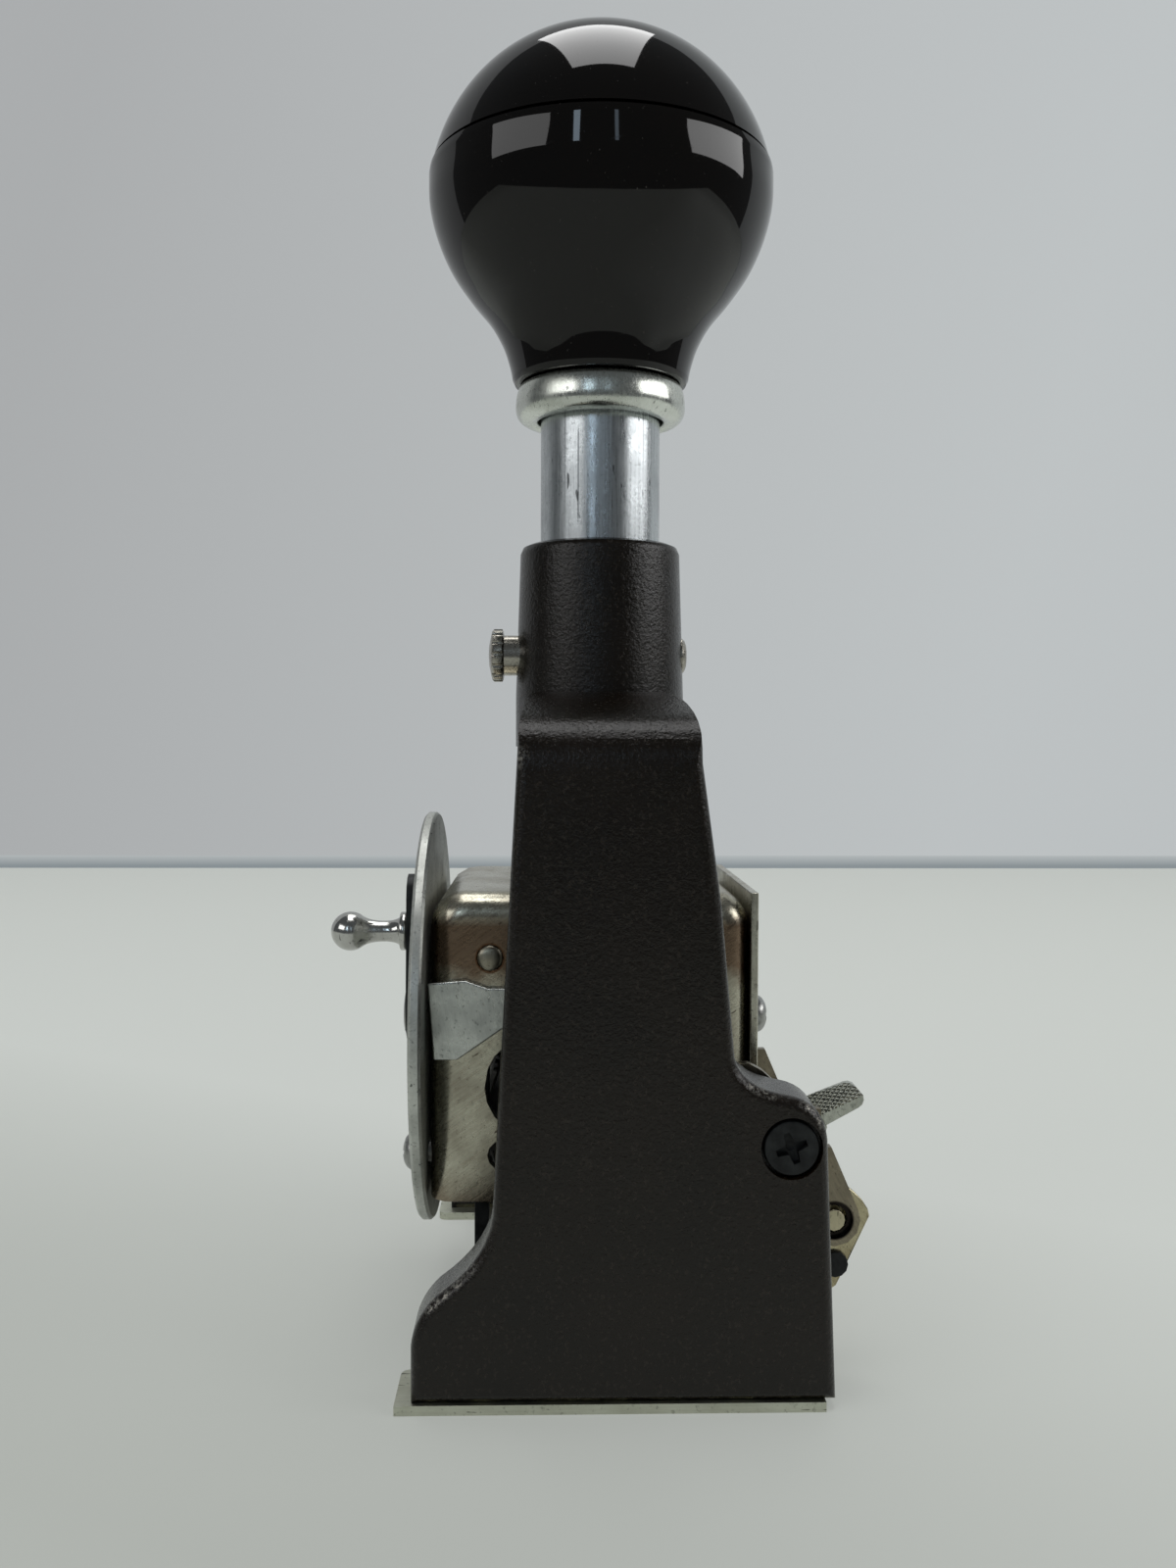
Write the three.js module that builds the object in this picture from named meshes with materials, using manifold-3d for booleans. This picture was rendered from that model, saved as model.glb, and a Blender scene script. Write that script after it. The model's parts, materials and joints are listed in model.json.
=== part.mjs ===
// Hand numbering machine: a cast arch stands on a base plate, and a sprung head with six number
// wheels slides in it. Pressing the knob swings the ink pad out of the way and prints.
//
// Millimetres. +X is the width of the machine, -Y the dial side, +Y the ink pad side, +Z up.
// The plunger runs along Z through X = 0, Y = 0 of the group named here as machine.

import * as THREE from 'three';
import { mergeVertices } from 'three/addons/utils/BufferGeometryUtils.js';
import Module from 'manifold-3d';

// Driving dimensions

const clearance = 0.3;
const overrun = 2;
const stroke = 8.8;

const roundSides = 36;
const mediumSides = 20;
const smallSides = 12;
const scallopSides = 6;
const nutSides = 6;
const bevelSteps = 4;
const curveSteps = 4;

const basePlate = {
  thickness: 0.95,
  front: 19.9,
  rear: 20.4,
  frontBar: 14.2,
  frontBarInner: 9.5,
  rearBarInner: 15.5,
  recessInset: 7.65,
  openingInset: 8.65,
  cornerRadius: 1.2,
  screwInset: 3.1,
  screwFront: 15.5,
  screwRear: 17,
};

const baseScrew = { headRadius: 1.9, headHeight: 0.5, shankRadius: 1, length: 5.2, headSink: 0.1 };

const frame = {
  width: 60.3,
  bridgeTop: 67.5,
  bridgeThickness: 7.2,
  legThickness: 7,
  shoulderRadius: 6,
  innerRadius: 4,
  edgeRound: 0.9,
  crownFront: 7,
  crownRear: 5.6,
  shoulderFront: 8.6,
  shoulderRear: 8.6,
  shoulderHeight: 60.5,
  waistFront: 10.8,
  waistHeight: 18.5,
  waistBend: 11.2,
  waistBendHeight: 14.3,
  toeFront: 18.4,
  toeSideHeight: 6.2,
  toeBend: 18.1,
  toeBendHeight: 9,
  toeCrest: 15.9,
  toeCrestHeight: 11,
  toeThickness: 5.6,
  rearWaist: 11.7,
  rearWaistHeight: 33.2,
  rearBelly: 10.4,
  rearBellyHeight: 47.5,
  lobeCrest: 16.6,
  lobeHeight: 29.3,
  lobeSideHeight: 24.6,
  heelTop: 20.4,
  heelFoot: 21.4,
};

const channel = { halfWidth: 5.6, depth: 4.35, bottom: 5, top: 57, cornerRadius: 2 };
const pocket = { front: 8.6, rear: 14.4, bottom: 3.4, top: 17.5, cornerRadius: 3 };

const barrel = { topRadius: 8.9, footRadius: 9.4, sink: 5.7, rise: 16.7, edgeRound: 1.1 };

const plunger = {
  radius: 6.65,
  boreRadius: 5.2,
  boreFloorGap: 6,
  knobReach: 10.4,
  studRadius: 4,
  studLength: 4.6,
  slotHalfWidth: 2.55,
};

const collar = { radius: 9.45, rise: 13.6, height: 3.9, round: 1.8 };

const knob = {
  radius: 19.05,
  neckRadius: 9.7,
  neckRound: 0.6,
  waistRadius: 10.8,
  waistRise: 4.3,
  flareRadius: 14.4,
  flareRise: 9.3,
  bellyInset: 1.35,
  bellyRise: 15,
  seamRise: 23.1,
  capOverhang: 0.2,
  capCentreRise: 19.2,
  seamGap: 0.3,
  spigotRadius: 12,
  spigotLength: 3,
};

const lockPin = {
  rise: 4.5,
  shankRadius: 2.05,
  neckRadius: 2.25,
  neckInner: 7.4,
  headRadius: 3,
  headThickness: 1.3,
  neckShows: 1.7,
  rearShows: 0.6,
  domeHeight: 0.35,
  scallops: 14,
  scallopRadius: 0.32,
};

const spring = { coilRadius: 3.7, wireRadius: 0.5, turns: 9, stepsPerTurn: 8, sides: 5 };
const springSeat = { radius: 4.8, thickness: 1.1 };

const head = {
  sideRoom: 7.05,
  front: 17.8,
  rear: 15.05,
  bottom: 15.3,
  top: 47,
  wall: 1.2,
  cornerRadius: 2.5,
  reliefFront: 9,
  reliefTop: 25,
  windowRadius: 5.2,
  windowY: 6.9,
  windowHeight: 27.2,
  scallopRadius: 1.5,
  scallopY: 10.3,
  scallopHeight: 20.1,
};

const guide = { halfWidth: 5.3, bottom: 31, top: 44, chamfer: 1 };
const nut = { radius: 6.2, thickness: 3.1 };

const wheels = {
  count: 6,
  stackInset: 4.25,
  gap: 0.3,
  radius: 12.5,
  rimRadius: 11.7,
  ratchetWidth: 0.9,
  ratchetRadius: 8,
  ratchetDepth: 1.1,
  digits: 10,
  facetHalfWidth: 2.9,
  boreClearance: 0.3,
};

const axle = { height: 21.6, radius: 2.5, endShows: 1.3 };
const clip = { radius: 4, thickness: 0.6, gap: 0.3 };
const spacer = { radius: 4, gap: 0.3 };

const swing = {
  cheekThickness: 1,
  cheekGap: 0.35,
  hubRadius: 4.3,
  armHalfWidth: 2.3,
  shaftY: 4.5,
  nutGap: 5.5,
  shaftRadius: 1.2,
  barWidth: 2.4,
  barThickness: 1.2,
};

const comb = { tubeRadius: 2.2, tubeGap: 0.3, fingerWidth: 0.7, fingerHalfDepth: 0.6, tipGap: 0.4 };

const detent = { y: 11.6, topGap: 6.6, shaftRadius: 1.05, endShows: 0.3 };

const trip = { y: 12.5, halfDepth: 0.75, width: 2, bottom: 10, ringRadius: 2.4, inset: 0.3 };

const dial = {
  height: 31.8,
  sideGap: 0.59,
  front: 19.4,
  thickness: 1.3,
  edgeRound: 0.3,
  screwInset: 3.5,
  screwHeight: 19.6,
};

const domedScrew = { headRadius: 2, crownRadius: 1.4, shankRadius: 1.1, length: 4.2, frontHead: 1,
  rearHead: 1.4 };

const pointer = {
  front: 21.5,
  thickness: 0.7,
  hubRadius: 3.4,
  tipRadius: 2.6,
  tipHeight: 44.8,
  ballHeight: 40.9,
  bossRadius: 2.8,
};

const pivotScrew = { headRadius: 2.6, crownRadius: 2.3, headHeight: 0.3, shankRadius: 1.3, length: 6.4 };

const ball = {
  radius: 2.2,
  reach: 6.5,
  neckRadius: 1,
  flangeRadius: 1.7,
  flangeThickness: 0.8,
  shankRadius: 0.9,
};

const ear = {
  thickness: 0.8,
  top: 38.2,
  bottom: 30.1,
  frontInset: 0.5,
  topReach: 0.1,
  topFall: 0.3,
  rear: 5.8,
  notchY: 14.9,
  riseY: 10.4,
  riseHeight: 33.2,
  rearHeight: 35.4,
  dip: 0.8,
  dipY: 11.8,
};

const rearCover = { thickness: 0.8, length: 21.6, sideInset: 0.3, screwInset: 3.9,
  screwHeight: 33.9 };

const arm = {
  pivotY: 17,
  pivotHeight: 24.8,
  rivetY: 22.6,
  rivetHeight: 15.3,
  legGap: 0.95,
  thickness: 1.2,
  hubRadius: 4,
  endRadius: 2.6,
  pinY: 12.2,
  forkLength: 7.8,
  forkHalfWidth: 2.9,
  forkRoot: 3.4,
  pinRadius: 1,
  pinSlack: 0.45,
  pinEndGap: 0.55,
};

const armScrew = { headRadius: 2.6, headHeight: 1.3, recessRadius: 2.9, recessDepth: 1.5, shankRadius: 1.9,
  endShows: 0.3, crossWidth: 0.7, crossLength: 2.9, crossDepth: 0.9, crossTurn: 20 };

const rivet = { radius: 1.1, headRadius: 1.9, headThickness: 0.5, ringRadius: 1.85, ringDepth: 0.6 };

const tab = {
  y: 22.5,
  height: 25.9,
  halfLength: 3.5,
  rootRadius: 1.25,
  tipRadius: 0.95,
  length: 3.8,
  faceDrop: 1.2,
  tilt: 25,
  pegRadius: 0.6,
  pegY: 21.2,
  pegHeight: 24.6,
  lugHalfWidth: 1.8,
};

const tray = {
  front: 4,
  rear: 17,
  bottom: 4,
  wall: 1,
  lipTop: 7.4,
  sideInset: 0.9,
  cheekGap: 0.6,
  cheekFootY: 23.2,
  cheekFoot: 8.1,
  noseY: 26.5,
  noseHeight: 15.1,
  noseTop: 16.5,
  crownY: 23.7,
  crownHeight: 18.5,
  cheekFrontHeight: 11,
  crossTop: 9.4,
};

const pad = { top: 8.2, rear: 13.2, gap: 0.3, crown: 0.5 };
const stud = { y: 23, height: 10.4, headRadius: 1.3, headThickness: 0.55, shankRadius: 0.7 };

// Sizes that follow from the ones above

const halfWidth = frame.width / 2;
const legInner = halfWidth - frame.legThickness;
const bridgeBottom = frame.bridgeTop - frame.bridgeThickness;
const barrelTop = frame.bridgeTop + barrel.rise;
const lockHeight = frame.bridgeTop + lockPin.rise;
const collarBottom = barrelTop + collar.rise;
const collarTop = collarBottom + collar.height;
const knobBottom = collarTop + clearance;
const knobSeam = knobBottom + knob.seamRise;
const capCentre = knobBottom + knob.capCentreRise;
const capRadius = knob.radius + knob.capOverhang;
const plungerTop = knobBottom + plunger.knobReach;
const nutBottom = head.top - head.wall - nut.thickness;
const driveShaftHeight = nutBottom - swing.nutGap;
const detentHeight = head.top - detent.topGap;
const headHalf = legInner - head.sideRoom;
const headInner = headHalf - head.wall;
const wheelStackHalf = headInner - wheels.stackInset;
const wheelPitch = (2 * wheelStackHalf + wheels.gap) / wheels.count;
const discWidth = wheelPitch - wheels.gap - wheels.ratchetWidth;
const cheekInner = wheelStackHalf + swing.cheekGap;
const cheekOuter = cheekInner + swing.cheekThickness;
const armOuter = legInner - arm.legGap;
const armInner = armOuter - arm.thickness;
const trayCheekOuter = armInner - tray.cheekGap;
const dialRadius = legInner - dial.sideGap;
const drivePinHeight = arm.pivotHeight + stroke / 2;
const barrelBore = plunger.radius + clearance;

// Solids: closed meshes that can be joined and cut

const wasm = await Module();
wasm.setup();

function solidOf(geometry) {
  const bare = geometry.clone();
  bare.deleteAttribute('normal');
  bare.deleteAttribute('uv');
  const merged = mergeVertices(bare);
  return new wasm.Manifold(new wasm.Mesh({
    numProp: 3,
    vertProperties: new Float32Array(merged.attributes.position.array),
    triVerts: new Uint32Array(merged.index.array),
  }));
}

function geometryOf(solid) {
  const mesh = solid.getMesh();
  const geometry = new THREE.BufferGeometry();
  geometry.setAttribute('position', new THREE.BufferAttribute(mesh.vertProperties, 3));
  geometry.setIndex(new THREE.BufferAttribute(mesh.triVerts, 1));
  const faceted = geometry.toNonIndexed();
  faceted.computeVertexNormals();
  return faceted;
}

function joined(solids) {
  return solids.reduce((whole, solid) => whole.add(solid));
}

function without(solid, cuts) {
  return cuts.reduce((rest, cut) => rest.subtract(cut), solid);
}

const alongX = new THREE.Vector3(1, 0, 0);
const alongY = new THREE.Vector3(0, 1, 0);
const alongZ = new THREE.Vector3(0, 0, 1);

// A prism whose outline is drawn in Y and Z
function prismX(outline, from, to, bevel = {}) {
  const geometry = new THREE.ExtrudeGeometry(outline, {
    depth: to - from, bevelEnabled: false, curveSegments: curveSteps, ...bevel,
  });
  geometry.translate(0, 0, from);
  geometry.applyMatrix4(new THREE.Matrix4().makeBasis(alongY, alongZ, alongX));
  return solidOf(geometry);
}

// A prism whose outline is drawn in X and Z
function prismY(outline, from, to) {
  const geometry = new THREE.ExtrudeGeometry(outline, {
    depth: to - from, bevelEnabled: false, curveSegments: curveSteps,
  });
  geometry.translate(0, 0, -to);
  geometry.applyMatrix4(new THREE.Matrix4().makeBasis(alongX, alongZ, alongY.clone().negate()));
  return solidOf(geometry);
}

// A prism whose outline is drawn in X and Y
function prismZ(outline, from, to) {
  const geometry = new THREE.ExtrudeGeometry(outline, {
    depth: to - from, bevelEnabled: false, curveSegments: curveSteps,
  });
  geometry.translate(0, 0, from);
  return solidOf(geometry);
}

function circle(x, y, radius, sides) {
  const outline = new THREE.Shape();
  for (let i = 0; i < sides; i++) {
    const angle = (i * 2 * Math.PI) / sides;
    const px = x + radius * Math.cos(angle);
    const py = y + radius * Math.sin(angle);
    if (i === 0) outline.moveTo(px, py);
    else outline.lineTo(px, py);
  }
  outline.closePath();
  return outline;
}

function polygon(points) {
  const outline = new THREE.Shape();
  outline.setFromPoints(points.map(([x, y]) => new THREE.Vector2(x, y)));
  outline.closePath();
  return outline;
}

function rodX(y, z, radius, from, to, sides = smallSides) {
  return prismX(circle(y, z, radius, sides), Math.min(from, to), Math.max(from, to));
}

function rodY(x, z, radius, from, to, sides = smallSides) {
  return prismY(circle(x, z, radius, sides), Math.min(from, to), Math.max(from, to));
}

function rodZ(x, y, radius, from, to, sides = smallSides) {
  return prismZ(circle(x, y, radius, sides), Math.min(from, to), Math.max(from, to));
}

function block(x0, x1, y0, y1, z0, z1) {
  const geometry = new THREE.BoxGeometry(Math.abs(x1 - x0), Math.abs(y1 - y0), Math.abs(z1 - z0));
  geometry.translate((x0 + x1) / 2, (y0 + y1) / 2, (z0 + z1) / 2);
  return solidOf(geometry);
}

function roundedRectangle(x0, x1, y0, y1, radius) {
  const outline = new THREE.Shape();
  outline.moveTo(x0 + radius, y0);
  outline.lineTo(x1 - radius, y0);
  outline.quadraticCurveTo(x1, y0, x1, y0 + radius);
  outline.lineTo(x1, y1 - radius);
  outline.quadraticCurveTo(x1, y1, x1 - radius, y1);
  outline.lineTo(x0 + radius, y1);
  outline.quadraticCurveTo(x0, y1, x0, y1 - radius);
  outline.lineTo(x0, y0 + radius);
  outline.quadraticCurveTo(x0, y0, x0 + radius, y0);
  return outline;
}

// A strip with round ends between two points of a plane; the ends may differ in radius
function strip(ax, ay, radiusA, bx, by, radiusB) {
  const direction = Math.atan2(by - ay, bx - ax);
  const points = [];
  const half = smallSides / 2;
  for (let i = 0; i <= half; i++) {
    const angle = direction + Math.PI / 2 + (Math.PI * i) / half;
    points.push([ax + radiusA * Math.cos(angle), ay + radiusA * Math.sin(angle)]);
  }
  for (let i = 0; i <= half; i++) {
    const angle = direction - Math.PI / 2 + (Math.PI * i) / half;
    points.push([bx + radiusB * Math.cos(angle), by + radiusB * Math.sin(angle)]);
  }
  return polygon(points);
}

// A turned solid about Z from [radius, height] pairs that start and end on the axis
function turned(profile, sides = roundSides) {
  const geometry = new THREE.LatheGeometry(profile.map(([r, h]) => new THREE.Vector2(r, h)), sides);
  geometry.rotateX(Math.PI / 2);
  return solidOf(geometry);
}

// A turned solid about the line along Y through x, z; heights count toward -Y
function turnedToFront(profile, x, z, sides = smallSides) {
  const geometry = new THREE.LatheGeometry(profile.map(([r, h]) => new THREE.Vector2(r, h)), sides);
  geometry.rotateZ(Math.PI);
  geometry.translate(x, 0, z);
  return solidOf(geometry);
}

// Points of a quarter round between two corners of a turned profile
function quarterRound(centreR, centreH, radius, fromAngle, toAngle, steps = curveSteps) {
  const points = [];
  for (let i = 0; i <= steps; i++) {
    const angle = fromAngle + ((toAngle - fromAngle) * i) / steps;
    points.push([centreR + radius * Math.cos(angle), centreH + radius * Math.sin(angle)]);
  }
  return points;
}

// The scene

const machine = new THREE.Group();

const finishes = {
  enamel: { color: 0x2e2422, roughness: 0.42, metalness: 0.2 },
  plastic: { color: 0x1f1311, roughness: 0.08, metalness: 0 },
  aluminium: { color: 0xb9bcc0, roughness: 0.32, metalness: 1 },
  nickel: { color: 0xa49f96, roughness: 0.28, metalness: 1 },
  steel: { color: 0x9aa0a4, roughness: 0.35, metalness: 1 },
  black: { color: 0x141416, roughness: 0.45, metalness: 0.6 },
  plate: { color: 0xc2c6be, roughness: 0.35, metalness: 0.9 },
  felt: { color: 0x24202e, roughness: 0.95, metalness: 0 },
};

function addNode(name, solid, finish) {
  const mesh = new THREE.Mesh(geometryOf(solid), new THREE.MeshStandardMaterial(finishes[finish]));
  mesh.name = name;
  machine.add(mesh);
  return mesh;
}

const sides = [
  { name: 'left', sign: -1 },
  { name: 'right', sign: 1 },
];

// Base plate: thin strip steel, open in the middle for the wheels and notched for the dial

function makeBasePlate() {
  const recess = halfWidth - basePlate.recessInset;
  const opening = halfWidth - basePlate.openingInset;
  const outline = new THREE.Shape();
  outline.moveTo(-halfWidth, -basePlate.front);
  outline.lineTo(-recess - basePlate.cornerRadius, -basePlate.front);
  outline.quadraticCurveTo(-recess, -basePlate.front, -recess, -basePlate.front + basePlate.cornerRadius);
  outline.lineTo(-recess, -basePlate.frontBar);
  outline.lineTo(recess, -basePlate.frontBar);
  outline.lineTo(recess, -basePlate.front + basePlate.cornerRadius);
  outline.quadraticCurveTo(recess, -basePlate.front, recess + basePlate.cornerRadius, -basePlate.front);
  outline.lineTo(halfWidth, -basePlate.front);
  outline.lineTo(halfWidth, basePlate.rear);
  outline.lineTo(-halfWidth, basePlate.rear);
  outline.closePath();
  outline.holes.push(roundedRectangle(-opening, opening,
    -basePlate.frontBarInner, basePlate.rearBarInner, basePlate.cornerRadius));
  const plate = prismZ(outline, 0, basePlate.thickness);
  const holes = [];
  for (const { x, y } of baseScrewPlaces()) {
    holes.push(rodZ(x, y, baseScrew.headRadius + clearance, -overrun,
      baseScrew.headSink + baseScrew.headHeight));
    holes.push(rodZ(x, y, baseScrew.shankRadius + clearance, 0, basePlate.thickness + overrun));
  }
  addNode('base_plate', without(plate, holes), 'plate');
}

function baseScrewPlaces() {
  const places = [];
  const side = halfWidth - basePlate.screwInset;
  for (const { name, sign } of sides) {
    places.push({ name: `front_${name}`, x: sign * side, y: -basePlate.screwFront });
    places.push({ name: `rear_${name}`, x: sign * side, y: basePlate.screwRear });
  }
  return places;
}

function makeBaseScrews() {
  for (const { name, x, y } of baseScrewPlaces()) {
    const headTop = baseScrew.headSink + baseScrew.headHeight;
    const screwHead = rodZ(x, y, baseScrew.headRadius, baseScrew.headSink, headTop);
    const shank = rodZ(x, y, baseScrew.shankRadius, baseScrew.headSink, baseScrew.length);
    addNode(`base_screw_${name}`, joined([screwHead, shank]), 'steel');
  }
}

// Frame: one casting, two channel legs under a bridge with the barrel on top

function legOutline() {
  const outline = new THREE.Shape();
  outline.moveTo(-frame.toeFront, basePlate.thickness);
  outline.lineTo(-frame.toeFront, frame.toeSideHeight);
  outline.quadraticCurveTo(-frame.toeBend, frame.toeBendHeight, -frame.toeCrest, frame.toeCrestHeight);
  outline.quadraticCurveTo(-frame.waistBend, frame.waistBendHeight, -frame.waistFront, frame.waistHeight);
  outline.lineTo(-frame.shoulderFront, frame.shoulderHeight);
  outline.quadraticCurveTo(-frame.shoulderFront, frame.bridgeTop, -frame.crownFront, frame.bridgeTop);
  outline.lineTo(frame.crownRear, frame.bridgeTop);
  outline.quadraticCurveTo(frame.shoulderRear, frame.bridgeTop, frame.shoulderRear, frame.shoulderHeight);
  outline.lineTo(frame.rearBelly, frame.rearBellyHeight);
  outline.lineTo(frame.rearWaist, frame.rearWaistHeight);
  outline.quadraticCurveTo(frame.rearWaist + frame.edgeRound, frame.lobeHeight + frame.edgeRound,
    frame.lobeCrest, frame.lobeHeight);
  outline.quadraticCurveTo(frame.heelTop, frame.lobeHeight - frame.edgeRound,
    frame.heelTop, frame.lobeSideHeight);
  outline.lineTo(frame.heelFoot, basePlate.thickness);
  outline.closePath();
  return outline;
}

function archOutline() {
  const outline = new THREE.Shape();
  const shoulder = frame.shoulderRadius;
  const inner = frame.innerRadius;
  outline.moveTo(-halfWidth, basePlate.thickness);
  outline.lineTo(-legInner, basePlate.thickness);
  outline.lineTo(-legInner, bridgeBottom - inner);
  outline.absarc(-legInner + inner, bridgeBottom - inner, inner, Math.PI, Math.PI / 2, true);
  outline.lineTo(legInner - inner, bridgeBottom);
  outline.absarc(legInner - inner, bridgeBottom - inner, inner, Math.PI / 2, 0, true);
  outline.lineTo(legInner, basePlate.thickness);
  outline.lineTo(halfWidth, basePlate.thickness);
  outline.lineTo(halfWidth, frame.bridgeTop - shoulder);
  outline.absarc(halfWidth - shoulder, frame.bridgeTop - shoulder, shoulder, 0, Math.PI / 2, false);
  outline.lineTo(-halfWidth + shoulder, frame.bridgeTop);
  outline.absarc(-halfWidth + shoulder, frame.bridgeTop - shoulder, shoulder, Math.PI / 2, Math.PI, false);
  outline.closePath();
  return outline;
}

function makeFrame() {
  const arch = prismY(archOutline(), -frame.toeFront - overrun, frame.heelFoot + overrun);
  const legs = prismX(legOutline(), -halfWidth - overrun, halfWidth + overrun);
  const round = barrel.edgeRound;
  const foot = frame.bridgeTop - barrel.sink;
  const tower = turned([
    [0, foot],
    [barrel.footRadius, foot],
    [barrel.footRadius, frame.bridgeTop],
    ...quarterRound(barrel.topRadius - round, barrelTop - round, round, 0, Math.PI / 2),
    [0, barrelTop],
  ]);
  const cuts = [
    rodZ(0, 0, barrelBore, bridgeBottom - overrun, barrelTop + overrun, roundSides),
    rodY(0, lockHeight, lockPin.neckRadius + clearance, -barrel.footRadius - overrun, 0),
    rodY(0, lockHeight, lockPin.shankRadius + clearance, 0, barrel.footRadius + overrun),
  ];
  for (const { sign } of sides) {
    const channelOutline = roundedRectangle(-channel.halfWidth, channel.halfWidth,
      channel.bottom, channel.top, channel.cornerRadius);
    const pocketOutline = roundedRectangle(-pocket.front, pocket.rear,
      pocket.bottom, pocket.top, pocket.cornerRadius);
    const inner = sign * (legInner - overrun);
    const floor = sign * (legInner + channel.depth);
    const from = Math.min(inner, floor);
    const to = Math.max(inner, floor);
    cuts.push(prismX(channelOutline, from, to));
    cuts.push(prismX(pocketOutline, from, to));
    cuts.push(block(inner, sign * (halfWidth - frame.toeThickness), -frame.toeFront - overrun,
      -pocket.front, -overrun, frame.waistHeight));
    const recessFloor = sign * (halfWidth - armScrew.recessDepth);
    cuts.push(rodX(arm.pivotY, arm.pivotHeight, armScrew.recessRadius,
      recessFloor, sign * (halfWidth + overrun), mediumSides));
    cuts.push(rodX(arm.pivotY, arm.pivotHeight, armScrew.shankRadius + clearance,
      sign * (legInner - overrun), sign * halfWidth));
  }
  for (const { x, y } of baseScrewPlaces()) {
    const holeTop = baseScrew.length + clearance;
    cuts.push(rodZ(x, y, baseScrew.shankRadius + clearance, -overrun, holeTop));
  }
  const body = joined([arch.intersect(legs), tower]);
  addNode('frame', without(body, cuts), 'enamel');
}

// Black screws that carry the ink arms: flat head in the leg, plain shank inward

function makeArmScrews() {
  for (const { name, sign } of sides) {
    const face = halfWidth - (armScrew.recessDepth - armScrew.headHeight);
    const under = face - armScrew.headHeight;
    const screwHead = rodX(arm.pivotY, arm.pivotHeight, armScrew.headRadius,
      sign * under, sign * face, mediumSides);
    const shank = rodX(arm.pivotY, arm.pivotHeight, armScrew.shankRadius,
      sign * (armInner - armScrew.endShows), sign * face);
    const halfCross = armScrew.crossLength / 2;
    const halfSlot = armScrew.crossWidth / 2;
    const crossFloor = sign * (face - armScrew.crossDepth);
    const crossTop = sign * (face + overrun);
    const cross = joined([
      block(crossFloor, crossTop, -halfCross, halfCross, -halfSlot, halfSlot),
      block(crossFloor, crossTop, -halfSlot, halfSlot, -halfCross, halfCross),
    ]).rotate([armScrew.crossTurn, 0, 0]).translate([0, arm.pivotY, arm.pivotHeight]);
    addNode(`arm_screw_${name}`, joined([screwHead, shank]).subtract(cross), 'black');
  }
}

// Plunger: tube with a stud below and a slot that the lock pin crosses

function makePlunger() {
  const boreFloor = lockHeight - plunger.boreFloorGap;
  const tube = turned([
    [0, head.top - plunger.studLength],
    [plunger.studRadius, head.top - plunger.studLength],
    [plunger.studRadius, head.top],
    [plunger.radius, head.top],
    [plunger.radius, plungerTop],
    [plunger.boreRadius, plungerTop],
    [plunger.boreRadius, boreFloor],
    [0, boreFloor],
  ]);
  const slot = prismY(strip(0, lockHeight, plunger.slotHalfWidth,
    0, lockHeight + stroke, plunger.slotHalfWidth), -plunger.radius - overrun, plunger.radius + overrun);
  addNode('plunger_tube', tube.subtract(slot), 'aluminium');
}

function makeCollar() {
  const r = collar.round;
  const bore = plunger.radius + clearance;
  const profile = [
    [bore, collarBottom],
    ...quarterRound(collar.radius - r, collarBottom + r, r, -Math.PI / 2, 0),
    ...quarterRound(collar.radius - r, collarTop - r, r, 0, Math.PI / 2),
    [bore, collarTop],
    [bore, collarBottom],
  ];
  addNode('collar', turned(profile), 'aluminium');
}

// Knob: a bulb that narrows to the collar, and a domed cap above its seam

function makeKnob() {
  const bulb = new THREE.SplineCurve([
    new THREE.Vector2(knob.neckRadius, knobBottom + knob.neckRound),
    new THREE.Vector2(knob.waistRadius, knobBottom + knob.waistRise),
    new THREE.Vector2(knob.flareRadius, knobBottom + knob.flareRise),
    new THREE.Vector2(knob.radius - knob.bellyInset, knobBottom + knob.bellyRise),
    new THREE.Vector2(knob.radius, (capCentre + knobSeam) / 2),
    new THREE.Vector2(knob.radius, knobSeam),
  ]);
  const bulbSteps = 3 * curveSteps;
  const outside = bulb.getPoints(bulbSteps).map((p) => [p.x, p.y]);
  const body = turned([
    [0, knobBottom],
    [knob.neckRadius - knob.neckRound, knobBottom],
    ...outside,
    [0, knobSeam],
  ]);
  const socket = rodZ(0, 0, plunger.radius + clearance, knobBottom - overrun,
    plungerTop + clearance, roundSides);
  const recess = rodZ(0, 0, knob.spigotRadius + clearance,
    knobSeam - knob.spigotLength - clearance, knobSeam + overrun, roundSides);
  addNode('knob_body', without(body, [socket, recess]), 'plastic');

  const capBottom = knobSeam + knob.seamGap;
  const startAngle = Math.asin((capBottom - capCentre) / capRadius);
  const cap = turned([
    [0, capBottom - knob.spigotLength],
    [knob.spigotRadius, capBottom - knob.spigotLength],
    [knob.spigotRadius, capBottom],
    ...quarterRound(0, capCentre, capRadius, startAngle, Math.PI / 2, 2 * curveSteps)
      .slice(0, -1),
    [0, capCentre + capRadius],
  ]);
  addNode('knob_cap', cap, 'plastic');
}

// Return spring in the tube: it stands on a seat that the lock pin carries

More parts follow.
